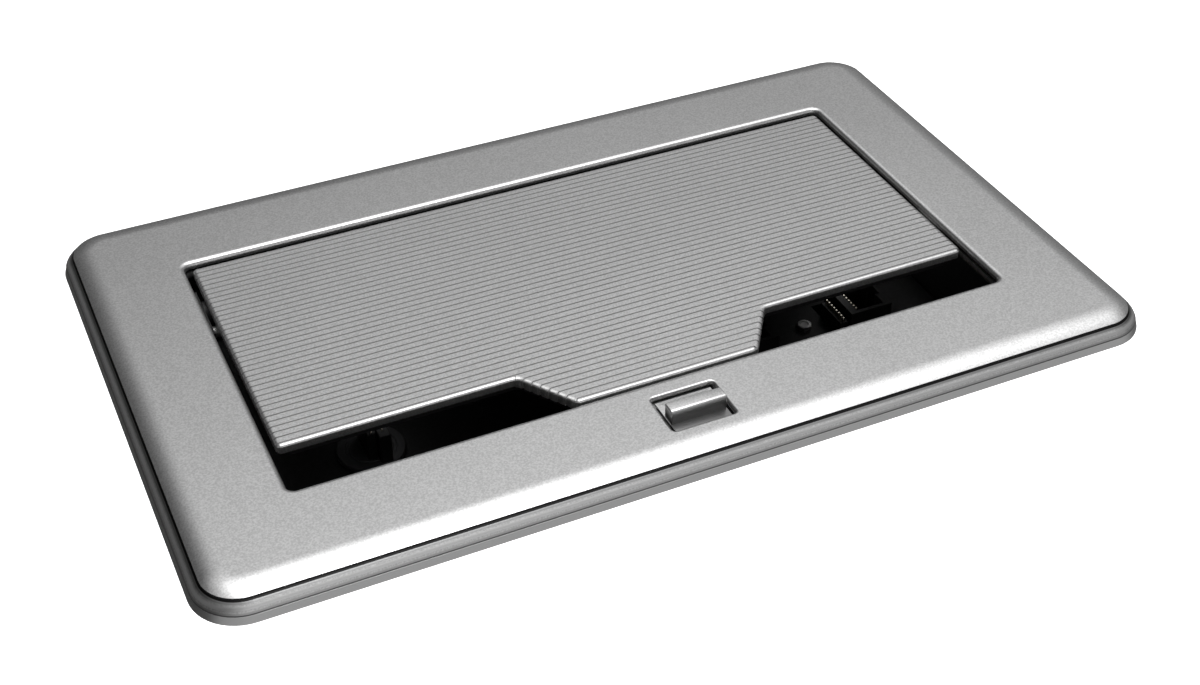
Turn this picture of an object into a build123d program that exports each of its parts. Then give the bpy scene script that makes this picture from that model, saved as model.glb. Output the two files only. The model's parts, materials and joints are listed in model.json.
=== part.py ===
"""Flip-top table box: a framed box let into a table top, with a grooved lid over a connector plate.

Millimetres. X runs along the long side, Y towards the hinge, Z up. The origin is the centre of the
frame in the plane of the table top, which the underside of the base rim lies on.
"""

import os
from math import asin, cos, floor, radians, sin

from build123d import *

# Base rim, the lower frame that lies on the table top
rim_length = 243.0
rim_width = 150.0
rim_corner = 12.0
rim_height = 4.4
rim_band = 1.75
rim_draft = 0.6
crease_width = 0.4
crease_depth = 0.3
shoulder_bulge = 0.3
rim_section_depth = 8.0

# Top bezel, the upper frame round the lid
bezel_setback = 3.0
bezel_corner = 9.0
bezel_plate = 2.0
bezel_round = 5.5
bezel_edge = 0.15
fusing_overlap = 0.5
parting_gap = 0.4
parting_depth = 1.0
seal_width = 1.2
frame_screw_inset = 11.0
frame_screw_x = 60.0
frame_screw_y = 42.0
frame_screw_depth = 2.4
frame_screw_play = 0.3

# Opening for the lid
border_end = 24.7
border_front = 25.85
border_back = 25.05
opening_corner = 2.0
opening_round = 1.3
skirt_wall = 1.5
skirt_drop = 4.3

# Lid panel
lid_side_gap = 1.8
lid_back_gap = 2.7
lid_front_gap = 0.9
lid_thickness = 2.6
lid_corner = 1.2
lid_edge = 0.5
notch_depth = 14.0
tongue_root = 67.0
tongue_tip = 48.0
tongue_corner = 2.2
groove_pitch = 2.0
groove_width = 0.5
groove_depth = 0.25
groove_margin = 1.1
lid_screw_margin = 9.0
lid_screw_end = 9.1

# Frame under the lid and its hinge
underframe_inset = 2.2
underframe_plate = 1.4
underframe_lip = 1.4
lip_wall = 1.6
rib_wall = 1.4
ribs_each_side = 2
hinge_setback = 13.0
hinge_drop = 4.8
hinge_side_gap = 0.3
pin_radius = 2.0
pin_clearance = 0.05
pin_end = 0.3
bush_wall = 1.0
bush_flange = 0.6
bush_flange_reach = 0.8
ear_wall = 1.4
ear_thickness = 4.0
washer_thickness = 0.7
washer_radius = 3.4
stop_angle = 105.0
stop_arm_angle = -35.0
stop_arm_width = 4.0
stop_arm_reach = 8.5
stop_circle = 7.0
stop_pin_radius = 1.5
running_gap = 0.3

# Hinge brackets
bracket_web = 3.0
bracket_depth = 13.8
bracket_front = 12.5
bracket_back = 6.5
bracket_foot = 2.5
bracket_bend = 1.0
bracket_screw_margin = 4.0

# Latch
window_length = 16.5
window_width = 12.6
window_setback = 5.2
window_corner = 1.0
window_edge = 0.3
window_roof = 1.05
latch_travel = 3.0
slider_plate = 1.1
slider_side_gap = 0.4
slide_gap = 0.1
bar_length = 14.4
bar_thickness = 3.6
bar_front_gap = 3.3
bar_height = 2.7
bar_round = 0.9
bar_edge = 0.3
nose_length = 5.1
nose_width = 8.4
nose_drop = 5.6
magnet_radius = 2.5
magnet_length = 3.0
magnet_drop = 5.0
guide_thickness = 1.15
guide_ear = 5.5
guide_reach = 4.3
guide_screw_margin = 3.0
spring_wire = 0.6
spring_turns = 4
spring_width = 8.0
tab_thickness = 1.2
tab_width = 7.0
striker_thickness = 1.0
striker_width = 18.0
striker_height = 3.2
shelf_depth = 5.0
shelf_thickness = 1.3
shelf_length = 44.0
bumper_radius = 2.0
bumper_edge = 0.3
bumper_height = 1.2
bumper_spacing = 30.0

# Box under the table
skirt_thickness = 2.3
skirt_corner = 3.5
skirt_depth = 14.0
flange_end = 19.8
flange_side = 20.3
box_depth = 100.0
box_top = 3.0
sheet = 1.2
sheet_bend = 1.8
bend_play = 0.5
side_flange = 12.0
enclosure_screw_drop = 28.0
enclosure_screw_rise = 18.0
skirt_screw_x = 60.0
outlet_radius = 12.0
outlet_spacing = 110.0
outlet_height = 22.0
grommet_bore = 9.0
grommet_lip = 2.5
grommet_lip_thickness = 2.0
grommet_slope = 1.0
gasket_width = 2.8
gasket_depth = 1.0
gasket_inset = 3.6
gasket_play = 0.1

# Connector plate, carried at a height that can be set
carrier_drop = 30.0
carrier_sheet = 1.5
carrier_travel = 30.0
cable_gap = 31.5
carrier_back_gap = 1.1
carrier_flange = 16.0
carrier_lip = 6.0
height_screw_drop = 8.5
height_screw_front = 10.0
height_screw_back = 10.0
slot_clearance = 0.3
nut_radius = 3.6
nut_length = 3.0

# Connectors
board_gap = 4.5
board_thickness = 1.6
board_margin = 1.5
board_back = 19.0
board_screw_gap = 12.0
board_screw_back = 2.0
board_screw_end = 0.5
jack_end = 23.9
jack_pitch = 35.0
jack_front = 12.0
jack_length = 12.6
jack_width = 14.0
jack_rise = 6.0
jack_port_length = 8.4
jack_port_width = 11.8
jack_port_depth = 10.5
jack_key_wall = 0.8
jack_key_width = 3.6
jack_key_floor = 3.0
contact_count = 8
contact_pitch = 1.27
contact_width = 0.5
contact_thickness = 0.3
contact_root = 8.0
contact_bend = 1.2
contact_crest = 0.5
contact_tip_reach = 2.6
contact_tip_drop = 3.2
header_offset = 8.5
header_width = 2.4
header_drop = 2.0
header_count = 8
header_shift = -2.0
header_pin = 0.6
header_pin_rise = 1.2
panel_play = 0.5
spacer_radius = 3.0
coupler_end = 36.0
coupler_front = 13.8
coupler_radius = 8.7
coupler_body = 7.2
coupler_flange = 1.2
coupler_depth = 12.0
block_rise = 8.4
block_widths = (2.3, 3.0)
block_fronts = (5.0, 7.1)
block_back = 4.8
block_gap = 0.25
block_offset = 0.4
coupler_pin_pitch = 1.45
coupler_pin_count = 6
coupler_pin_front = 4.5
coupler_pin = 0.7
coupler_pin_rise = 0.4
blank_length = 50.0
blank_width = 22.0
blank_x = -2.0
blank_back = 29.2
blank_margin = 4.0
blank_thickness = 1.2

# Clamps under the table
clamp_y = 14.0
clamp_inset = 8.5
clamp_travel = 25.0
table_thickest = 45.0
clamp_foot_radius = 6.5
clamp_foot_height = 4.0
clamp_screw_radius = 2.5
clamp_thread_gap = 0.08
clamp_arm_drop = 55.0
clamp_arm_thickness = 3.0
clamp_arm_width = 20.0
clamp_arm_end = 7.0
clamp_leg = 17.0
clamp_leg_thickness = 2.0
clamp_screw_margin = 4.0
clamp_boss_radius = 5.0
clamp_boss_height = 2.0
wing_span = 18.0
wing_height = 8.0
wing_thickness = 2.2
wing_shoulder = 1.0
wing_hub_radius = 4.0

# Hexagon heads of the screws: (radius over the corners, height)
head_m2 = (1.9, 1.2)
head_m25 = (2.2, 1.3)
head_m3 = (2.8, 1.7)
head_m4 = (4.0, 2.4)
height_shank = 2.0
fit_play = 0.05

# Heights and places that follow from the sizes above
bezel_top = rim_height + bezel_plate
bezel_length = rim_length - 2 * bezel_setback
bezel_width = rim_width - 2 * bezel_setback
opening_length = bezel_length - 2 * border_end
opening_front = border_front - bezel_width / 2
opening_back = bezel_width / 2 - border_back
opening_width = opening_back - opening_front
opening_shift = (opening_back + opening_front) / 2
box_length = rim_length - 2 * flange_end
box_width = rim_width - 2 * flange_side
skirt_bottom = bezel_top - skirt_drop
lid_half = opening_length / 2 - lid_side_gap
lid_back = opening_back - lid_back_gap
lid_front = opening_front + lid_front_gap
notch_front = lid_front + notch_depth
lid_bottom = bezel_top - lid_thickness
frame_bottom = lid_bottom - underframe_plate
lip_bottom = frame_bottom - underframe_lip
hinge_y = opening_back - hinge_setback
hinge_z = lid_bottom - hinge_drop
bush_radius = pin_radius + pin_clearance + bush_wall
ear_radius = bush_radius + ear_wall
underframe_half = lid_half - underframe_inset
window_back = opening_front - window_setback
window_front = window_back - window_width
bar_front = window_front + bar_front_gap
bar_back = bar_front + bar_thickness
roof_z = bezel_top - window_roof
slider_top = roof_z - slide_gap
slider_bottom = slider_top - slider_plate
guide_top = slider_bottom - slide_gap
guide_bottom = guide_top - guide_thickness
guide_front = window_front - guide_reach
guide_back = opening_front - skirt_wall - running_gap
nose_back = guide_back
tab_front = nose_back - nose_length - latch_travel - tab_thickness
shelf_top = lip_bottom - running_gap - bumper_height
carrier_top = bezel_top - carrier_drop
carrier_half = box_length / 2 - sheet - running_gap
carrier_front = cable_gap + sheet - box_width / 2
carrier_back = box_width / 2 - 2 * sheet - carrier_back_gap
jack_x = carrier_half - jack_end
jack_y = carrier_front + jack_front
coupler_x = coupler_end - carrier_half
coupler_y = carrier_front + coupler_front
block_middle = coupler_x + block_offset
blank_y = carrier_back - blank_back
board_top = carrier_top - carrier_sheet - board_gap
jack_top = carrier_top + jack_rise
height_screw_z = carrier_top - height_screw_drop
height_screw_ys = (carrier_front + height_screw_front, carrier_back - height_screw_back)
clamp_foot_top = -table_thickest
clamp_x = rim_length / 2 - clamp_inset


def span(x, y, z):
    """A block between the given limits along each axis."""
    centre = Pos((x[0] + x[1]) / 2, (y[0] + y[1]) / 2, (z[0] + z[1]) / 2)
    return centre * Box(x[1] - x[0], y[1] - y[0], z[1] - z[0])


def slab(length, width, corner, bottom, top, shift=0.0):
    """A plate with rounded corners between two heights."""
    outline = RectangleRounded(length, width, corner) if corner > 0 else Rectangle(length, width)
    return Pos(0, shift, bottom) * extrude(outline, top - bottom)


def rod(radius, start, end, along="Z", at=(0.0, 0.0)):
    """A round bar along one axis; at gives the other two coordinates in X, Y, Z order."""
    turn = {"X": Rot(0, 90, 0), "Y": Rot(-90, 0, 0), "Z": Rot(0, 0, 0)}[along]
    middle = (start + end) / 2
    place = {"X": (middle, *at), "Y": (at[0], middle, at[1]), "Z": (*at, middle)}[along]
    return Pos(*place) * turn * Cylinder(radius, abs(end - start))


def carried_round(length, width, corner, section):
    """Carry a section, drawn as (distance inwards, height), once around a rounded rectangle."""
    path = RectangleRounded(length, width, corner).wire()
    start = path.edges().filter_by(GeomType.LINE).sort_by(Axis.X)[-1]
    middle = start @ 0.5
    plane = Plane(origin=middle, x_dir=(-1, 0, 0), z_dir=(0, 1, 0))
    return sweep(plane * section, path=Wire(_from_middle(path, start)))


def _from_middle(path, start):
    """The edges of a closed path, in order, beginning and ending in the middle of one of them."""
    halves = [start.trim(0.5, 1.0), start.trim(0.0, 0.5)]
    others = [edge for edge in path.edges() if not edge.is_same(start)]
    return [halves[0], *others, halves[1]]


def screw_head(size):
    """A hexagon head that stands on the plane at height 0."""
    radius, height = size
    return extrude(RegularPolygon(radius, 6), height)


def group(pieces):
    """Several separate solids as one sub-part."""
    return Compound(children=[solid for piece in pieces for solid in piece.solids()])


def mirrored(piece):
    """The same piece on the other side of the box."""
    return mirror(piece, Plane.YZ)


def frame_screw_places():
    """Places, pointing down, of the eight screws that hold the bezel to the base rim."""
    ends = (rim_length / 2 - frame_screw_inset, frame_screw_y)
    sides = (frame_screw_x, rim_width / 2 - frame_screw_inset)
    points = [(i * x, j * y) for x, y in (ends, sides) for i in (-1, 1) for j in (-1, 1)]
    return [Pos(x, y, frame_screw_depth) * Rot(180, 0, 0) for x, y in points]


def rim_section():
    """Drafted lower band, fine crease and rounded shoulder up to the bezel's edge."""
    crease = (rim_draft + crease_depth, rim_band + crease_width / 2)
    shoulder = (rim_draft, rim_band + crease_width)
    top = (bezel_setback, rim_height)
    lower = Polyline((rim_section_depth, 0), (0, 0), (rim_draft, rim_band), crease, shoulder)
    upper = Polyline(top, (rim_section_depth, rim_height), (rim_section_depth, 0))
    return make_face(lower + SagittaArc(shoulder, top, shoulder_bulge) + upper)


def ring(length, width, corner, inset, wide, bottom, top):
    """A flat ring that follows a rounded rectangle at an inset."""
    outer = slab(length - 2 * inset, width - 2 * inset, corner - inset, bottom, top)
    cut = inset + wide
    return outer - slab(length - 2 * cut, width - 2 * cut, corner - cut, bottom, top)


def latch_recess():
    """Room in the top of the base rim for the latch guide and the slider's nose."""
    half = window_length / 2 + guide_reach + guide_ear + running_gap
    heads = guide_bottom - head_m2[1] - running_gap
    tray = span((-half, half), (guide_front - running_gap, 0), (heads, rim_height))
    nose = nose_width / 2 + running_gap
    low = slider_bottom - nose_drop - running_gap
    front = nose_back - nose_length - latch_travel - running_gap
    return tray + span((-nose, nose), (front, 0), (low, rim_height))


def make_base_rim():
    """Lower frame with the flange on the table top and the skirt that goes into its cut-out."""
    edge = carried_round(rim_length, rim_width, rim_corner, rim_section())
    inset = rim_section_depth - fusing_overlap
    flange = slab(rim_length - 2 * inset, rim_width - 2 * inset, rim_corner - inset, 0, rim_height)
    skirt_length = box_length + 2 * skirt_thickness
    skirt_width = box_width + 2 * skirt_thickness
    skirt = slab(skirt_length, skirt_width, skirt_corner, -skirt_depth, rim_height)
    body = edge + flange + skirt - slab(box_length, box_width, 0, -skirt_depth, rim_height)
    width = gasket_width + 2 * gasket_play
    body -= ring(rim_length, rim_width, rim_corner, gasket_inset - gasket_play, width, 0, gasket_depth)
    body -= latch_recess()
    pocket = extrude(RegularPolygon(head_m3[0] + frame_screw_play, 6), frame_screw_depth)
    return body - [place * pocket for place in frame_screw_places()]


def bezel_section():
    """Rounded outer edge of the bezel, with the rebate that makes the dark parting line."""
    rebate = parting_depth + seal_width + gasket_play
    edge_bottom = rim_height + parting_gap
    start = (bezel_round, bezel_top)
    end = (0, edge_bottom + bezel_edge)
    inner = bezel_round + fusing_overlap
    upper = TangentArc(start, end, tangent=(-1, 0))
    rest = Polyline(
        end, (0, edge_bottom), (rebate, edge_bottom), (rebate, rim_height),
        (inner, rim_height), (inner, bezel_top), start,
    )
    return make_face(upper + rest)


def make_top_bezel():
    """Upper frame: flat top, rounded outer edge, skirt round the opening and latch window."""
    edge = carried_round(bezel_length, bezel_width, bezel_corner, bezel_section())
    inset = bezel_round
    plate = slab(bezel_length - 2 * inset, bezel_width - 2 * inset, bezel_corner - inset,
                 rim_height, bezel_top)
    skirt = slab(opening_length + 2 * skirt_wall, opening_width + 2 * skirt_wall,
                 opening_corner + skirt_wall, skirt_bottom, bezel_top, opening_shift)
    hole = slab(opening_length, opening_width, opening_corner, skirt_bottom, bezel_top, opening_shift)
    body = edge + plate + skirt - hole
    rim = body.faces().sort_by(Axis.Z)[-1].inner_wires()[0]
    body = fillet(rim.edges(), opening_round)
    ends, wall = (-shelf_length / 2, shelf_length / 2), opening_front - skirt_wall
    shelf_bottom = shelf_top - shelf_thickness
    body += span(ends, (wall, opening_front + shelf_depth), (shelf_bottom, shelf_top))
    body += span(ends, (wall, opening_front), (shelf_bottom, skirt_bottom))
    return cut_latch_window(body)


def cut_latch_window(body):
    """Window for the finger bar, with a pocket below its thin roof for the sliding plate."""
    middle = (window_front + window_back) / 2
    window = slab(window_length, window_width, window_corner, rim_height, bezel_top, middle)
    body -= window
    rim = body.faces().sort_by(Axis.Z)[-1].inner_wires().sort_by(Wire.length)[0]
    body = chamfer(rim.edges(), window_edge)
    half = window_length / 2 + guide_reach
    pocket = span((-half, half), (guide_front, guide_back), (rim_height, roof_z))
    return body - pocket


def make_parting_seal():
    """Dark seal set back between the two frames."""
    return ring(bezel_length, bezel_width, bezel_corner, parting_depth, seal_width,
                rim_height, rim_height + parting_gap)


def make_table_gasket():
    """Rubber strip in the underside of the base rim."""
    return ring(rim_length, rim_width, rim_corner, gasket_inset, gasket_width, 0, gasket_depth)


def make_bezel_screws():
    """Heads of the eight screws, sunk in the base rim, that go up into the bezel."""
    return group([place * screw_head(head_m3) for place in frame_screw_places()])


def guide_screw_places():
    """Places, pointing down, of the four screws that hold the latch guide under the bezel."""
    x = window_length / 2 + guide_reach + guide_ear / 2
    ys = (guide_front + guide_screw_margin, guide_back - guide_screw_margin)
    return [Pos(side * x, y, guide_bottom) * Rot(180, 0, 0) for side in (-1, 1) for y in ys]


def make_latch_guide():
    """Tray under the latch slider: side rails, ears for its screws, room for nose and spring."""
    half = window_length / 2 + guide_reach
    outer = half + guide_ear
    tray = span((-outer, outer), (guide_front, guide_back), (guide_bottom, guide_top))
    rail_in = window_length / 2 - slider_side_gap + slide_gap
    for side in (-1, 1):
        ear = (half + slide_gap) * side, outer * side
        tray += span(sorted(ear), (guide_front, guide_back), (guide_top, rim_height))
        rail = rail_in * side, (half - slide_gap) * side
        tray += span(sorted(rail), (guide_front + slide_gap, guide_back), (guide_top, roof_z))
    nose = nose_width / 2 + running_gap
    front = guide_front + tab_thickness
    return tray - span((-nose, nose), (front, guide_back), (guide_bottom, guide_top))


def make_latch_guide_screws():
    """Heads of the four small screws under the ears of the latch guide."""
    return group([place * screw_head(head_m2) for place in guide_screw_places()])


def long_edge(bar):
    """Upper back edge of the finger bar."""
    return bar.edges().filter_by(Axis.X).group_by(Axis.Y)[-1].sort_by(Axis.Z)[-1]


def make_latch_slider():
    """Sliding plate with the finger bar on top, and a nose below that holds the magnet."""
    half = window_length / 2 - slider_side_gap
    front = window_front - 2 * slider_side_gap
    body = span((-half, half), (front, nose_back), (slider_bottom, slider_top))
    top = bezel_top + bar_height
    bar = span((-bar_length / 2, bar_length / 2), (bar_front, bar_back), (slider_top, top))
    long_edges = bar.edges().filter_by(Axis.X).group_by(Axis.Z)[-1].sort_by(Axis.Y)
    bar = fillet(long_edges[0], bar_round)
    back_edges = bar.edges().filter_by(Axis.Z).group_by(Axis.Y)[-1]
    bar = chamfer([*back_edges, long_edge(bar)], bar_edge)
    nose = span((-nose_width / 2, nose_width / 2), (nose_back - nose_length, nose_back),
                (slider_bottom - nose_drop, slider_bottom))
    tab = span((-tab_width / 2, tab_width / 2), (tab_front, tab_front + tab_thickness),
               (guide_bottom + slide_gap, slider_bottom))
    bore = rod(magnet_radius + fit_play, nose_back - magnet_length, nose_back, "Y",
               (0, bezel_top - magnet_drop))
    return body + bar + nose + tab - bore


def make_latch_magnet():
    """Round magnet in the slider's nose, behind the striker."""
    return rod(magnet_radius, nose_back - magnet_length, nose_back, "Y", (0, bezel_top - magnet_drop))


def make_latch_spring():
    """Flat zigzag wire spring between the guide's front wall and the slider's tab."""
    front = guide_front + tab_thickness
    back = tab_front - spring_wire / 2
    step = (back - front - spring_wire) / (2 * spring_turns)
    reach = (spring_width - spring_wire) / 2
    rows = [front + spring_wire / 2 + step * (turn + 0.5) for turn in range(2 * spring_turns)]
    corners = [(0, front)]
    for turn, y in enumerate(rows):
        side = reach if turn % 2 else -reach
        corners += [(-side if turn else 0, y), (side if turn < len(rows) - 1 else 0, y)]
    corners.append((0, tab_front))
    flat = trace(Polyline(*_without_repeats(corners)), line_width=spring_wire)
    return Pos(0, 0, guide_bottom + slide_gap) * extrude(flat, spring_wire)


def _without_repeats(points):
    """The points of a path, each different from the one before."""
    return [point for place, point in enumerate(points) if place == 0 or point != points[place - 1]]


def lid_outline(inset=0.0):
    """Plan of the lid: a rectangle with a tongue between two cable notches, drawn at an inset."""
    half, back = lid_half - inset, lid_back - inset
    notch, front = notch_front + inset, lid_front + inset
    slant = (tongue_root - tongue_tip) / 2 / notch_depth
    side = inset * (1 + slant**2) ** 0.5
    root = tongue_root / 2 - side + slant * inset
    tip = tongue_tip / 2 - side + slant * inset
    corners = [(-half, back), (-half, notch), (-root, notch), (-tip, front),
               (tip, front), (root, notch), (half, notch), (half, back)]
    face = make_face(Polyline(*corners, close=True))
    outer = [v for v in face.vertices() if abs(v.X) > tongue_root / 2 + 1]
    tongue = [v for v in face.vertices() if abs(v.X) <= tongue_root / 2 + 1]
    face = fillet(outer, lid_corner)
    kept = [(v.X, v.Y) for v in tongue]
    tongue = [v for v in face.vertices() if any(abs(v.X - x) + abs(v.Y - y) < 0.01 for x, y in kept)]
    return fillet(tongue, tongue_corner)


def groove_places():
    """Middles of the grooves, from the front edge of the tongue to the back edge."""
    first = lid_front + groove_margin
    count = floor((lid_back - groove_margin - first) / groove_pitch) + 1
    return [first + groove_pitch * place for place in range(count)]


def make_lid_panel():
    """Aluminium lid panel; its grooves run across the top and on down the end faces."""
    body = Pos(0, 0, lid_bottom) * extrude(lid_outline(), lid_thickness)
    top = body.faces().sort_by(Axis.Z)[-1]
    body = chamfer(top.edges(), lid_edge)
    core = Pos(0, 0, lid_bottom) * extrude(lid_outline(groove_depth), lid_thickness - groove_depth)
    cuts = []
    for y in groove_places():
        wide = (y - groove_width / 2, y + groove_width / 2)
        cuts.append(span((-lid_half, lid_half), wide, (lid_bottom, bezel_top)) - core)
    return body - cuts


def lid_screw_places():
    """Places, pointing down, of the screws that hold the lid panel on its frame."""
    rows = (notch_front + lid_screw_margin, lid_back - 2 * lid_screw_margin)
    middle, end = rib_pitch() / 2, ear_inner() - lid_screw_end
    places = [(x, y) for x in (-end, -middle, middle, end) for y in rows]
    places += [(side * tongue_tip / 4, lid_front + lid_screw_margin) for side in (-1, 1)]
    return [Pos(x, y, frame_bottom) * Rot(180, 0, 0) for x, y in places]


def rib_pitch():
    """Spacing of the cross ribs, which pass half way between the screws."""
    return (ear_inner() - lid_screw_end) / (ribs_each_side + 0.5)


def make_lid_underframe():
    """Black frame under the lid: plate, lip, cross ribs and the two hinge ears."""
    full = lid_outline(underframe_inset)
    inner = lid_outline(underframe_inset + lip_wall)
    plate = Pos(0, 0, frame_bottom) * extrude(full, underframe_plate)
    lip = Pos(0, 0, lip_bottom) * extrude(full - inner, underframe_lip)
    body = plate + lip
    for place in range(-ribs_each_side, ribs_each_side + 1):
        x = place * rib_pitch()
        body += span((x - rib_wall / 2, x + rib_wall / 2),
                     (notch_front + underframe_inset, lid_back - underframe_inset),
                     (lip_bottom, frame_bottom))
    side = pin_room()
    room = span(side, (hinge_y - ear_radius - 1, hinge_y + ear_radius + 1), (lip_bottom, lid_bottom))
    body -= [room, mirrored(room)]
    ear = make_ear()
    body += [ear, mirrored(ear)]
    bore = rod(bush_radius + fit_play, ear_inner(), ear_outer(), "X", (hinge_y, hinge_z))
    return body - [bore, mirrored(bore)]


def ear_outer():
    """Outer face of a hinge ear."""
    return underframe_half - bush_flange - running_gap - washer_thickness - slide_gap


def ear_inner():
    """Inner face of a hinge ear."""
    return ear_outer() - ear_thickness


def pin_room():
    """Reach along X outside the ears that the washer and the bracket's boss need."""
    return (ear_outer(), lid_half)


def stop_place():
    """Where the stop pin stands, as (Y, Z): the ear's arm is clear of it at the full opening."""
    apart = asin((stop_arm_width / 2 + stop_pin_radius + running_gap) / stop_circle)
    angle = radians(stop_arm_angle - stop_angle) - apart
    return (hinge_y + stop_circle * cos(angle), hinge_z + stop_circle * sin(angle))


def make_ear():
    """Hinge ear with the arm that meets the stop pin when the lid is fully open."""
    wide = (ear_inner(), ear_outer())
    disc = rod(ear_radius, *wide, "X", (hinge_y, hinge_z))
    cheek = span(wide, (hinge_y - ear_radius, hinge_y + ear_radius), (hinge_z, frame_bottom))
    arm = span(wide, (0, stop_arm_reach), (-stop_arm_width / 2, stop_arm_width / 2))
    arm = fillet(arm.edges().filter_by(Axis.X).group_by(Axis.Y)[-1], stop_arm_width * 0.3)
    return disc + cheek + Pos(0, hinge_y, hinge_z) * Rot(stop_arm_angle, 0, 0) * arm


def make_lid_screws():
    """Heads of the screws that go up through the frame into the lid panel."""
    return group([place * screw_head(head_m25) for place in lid_screw_places()])


def make_striker_plate():
    """Steel striker on the front lip of the tongue, in front of the latch magnet."""
    back = lid_front + underframe_inset
    return span((-striker_width / 2, striker_width / 2), (back - striker_thickness, back),
                (lid_bottom - striker_height, lid_bottom))


def make_hinge_bush():
    """Flanged plain bush in the right-hand ear."""
    sleeve = rod(bush_radius, ear_inner(), ear_outer(), "X", (hinge_y, hinge_z))
    face = ear_outer() + bush_flange
    flange = rod(bush_radius + bush_flange_reach, ear_outer(), face, "X", (hinge_y, hinge_z))
    return sleeve + flange - rod(pin_radius + pin_clearance, ear_inner(), face, "X", (hinge_y, hinge_z))


def washer_inner():
    """Face of the friction washer beside the bush."""
    return ear_outer() + bush_flange + running_gap


def boss_inner():
    """Face of the bracket's boss that the friction washer lies against."""
    return washer_inner() + washer_thickness


def web_inner():
    """Inner face of the bracket's web, clear of the ends of the lid."""
    return lid_half + hinge_side_gap + running_gap


def make_hinge_washer():
    """Friction washer on the pin, against the bracket."""
    ring_hole = rod(pin_radius + pin_clearance, washer_inner(), boss_inner(), "X", (hinge_y, hinge_z))
    return rod(washer_radius, washer_inner(), boss_inner(), "X", (hinge_y, hinge_z)) - ring_hole


def make_hinge_pin():
    """Hinge pin from the bracket through the washer and the bush."""
    pin = rod(pin_radius, ear_inner() - pin_end, web_inner() + bracket_web, "X", (hinge_y, hinge_z))
    return chamfer(pin.edges().sort_by(Axis.X)[0], pin_end)


def make_hinge_bracket():
    """Channel-shaped bracket: web with the pin's boss, floor, and foot against the side plate."""
    top = skirt_bottom - running_gap
    bottom = hinge_z - bracket_depth + hinge_drop
    y = (hinge_y - bracket_front, hinge_y + bracket_back)
    outer = box_length / 2 - sheet
    body = span((web_inner(), outer), y, (bottom, top))
    channel = span((web_inner() + bracket_web, outer - bracket_foot), y, (bottom + bracket_foot, top))
    body -= channel
    body = fillet(body.edges().filter_by(Axis.Y).group_by(Axis.Z)[0], bracket_bend)
    body += rod(washer_radius, boss_inner(), web_inner(), "X", (hinge_y, hinge_z))
    pin = rod(pin_radius + fit_play, boss_inner(), web_inner() + bracket_web, "X", (hinge_y, hinge_z))
    stop = rod(stop_pin_radius + fit_play, web_inner(), web_inner() + bracket_web, "X", stop_place())
    return body - [pin, stop]


def make_stop_pin():
    """Pin in the bracket that stops the ear's arm when the lid is fully open."""
    pin = rod(stop_pin_radius, ear_inner(), web_inner() + bracket_web, "X", stop_place())
    return chamfer(pin.edges().sort_by(Axis.X)[0], pin_end)


def bracket_screw_places():
    """Places, pointing inwards, of the screws through skirt, side plate and bracket."""
    z = hinge_z - hinge_drop
    ys = (hinge_y - bracket_front + bracket_screw_margin, hinge_y + bracket_back - bracket_screw_margin)
    right = [Pos(box_length / 2 + skirt_thickness, y, z) * Rot(0, 90, 0) for y in ys]
    left = [Pos(-box_length / 2 - skirt_thickness, y, z) * Rot(0, -90, 0) for y in ys]
    return right + left


def skirt_screw_places():
    """Places, pointing inwards, of the screws through the skirt into the front and back walls."""
    z = -(skirt_depth + box_top) / 2
    face = box_width / 2 + skirt_thickness
    xs = (-skirt_screw_x, skirt_screw_x)
    return [Pos(x, side * face, z) * Rot(-90 * side, 0, 0) for side in (-1, 1) for x in xs]


def make_bracket_screws():
    """Heads of the screws that hold the skirt, the side plates and the hinge brackets together."""
    return group([place * screw_head(head_m3) for place in bracket_screw_places()])


def make_skirt_screws():
    """Heads of the screws that hold the front and back walls of the box to the skirt."""
    return group([place * screw_head(head_m3) for place in skirt_screw_places()])


def make_lid_bumpers():
    """Two rubber pads on the shelf, just under the tongue."""
    y = opening_front + shelf_depth - bumper_radius - bumper_edge
    xs = (-bumper_spacing / 2, bumper_spacing / 2)
    return group([rod(bumper_radius, shelf_top, shelf_top + bumper_height, at=(x, y)) for x in xs])


def wall_section(outset, corner, top):
    """Outline of the box seen from the end: straight sides and rounded lower corners."""
    half = box_width / 2 - outset
    bottom = -box_depth + outset
    face = make_face(Polyline((-half, top), (-half, bottom), (half, bottom), (half, top), close=True))
    return fillet(face.vertices().group_by(Axis.Y)[0], corner)


def along_x(face, start, end):
    """Extrude a section drawn as (Y, Z) between two places along X."""
    plane = Plane(origin=(start, 0, 0), x_dir=(0, 1, 0), z_dir=(1, 0, 0))
    return extrude(plane * face, end - start)


def make_enclosure_wrap():
    """Front wall, floor and back wall of the box, bent from one sheet."""
    half = box_length / 2
    body = along_x(wall_section(0, sheet_bend + sheet, -box_top), -half, half)
    body -= along_x(wall_section(sheet, sheet_bend, 0), -half, half)
    for side in (-1, 1):
        x = side * outlet_spacing / 2
        body -= rod(outlet_radius, 0, box_width, "Y", (x, outlet_height - box_depth))
    return body


def make_side_plate():
    """Right-hand end of the box: a tray with flanges inside the wrap and two height slots."""
    outer, inner = box_length / 2, box_length / 2 - sheet
    loose = sheet_bend + bend_play
    body = along_x(wall_section(sheet, loose, -box_top), inner - side_flange, outer)
    body = fillet(body.edges().filter_by(Axis.Z).group_by(Axis.X)[-1], sheet_bend)
    body -= along_x(wall_section(2 * sheet, loose - sheet, 0), inner - side_flange, inner)
    half = height_shank + slot_clearance
    for y in height_screw_ys:
        low, high = height_screw_z - carrier_travel, height_screw_z
        slot = rod(half, inner, outer, "X", (y, low)) + rod(half, inner, outer, "X", (y, high))
        body -= slot + span((inner, outer), (y - half, y + half), (low, high))
    return body


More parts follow.
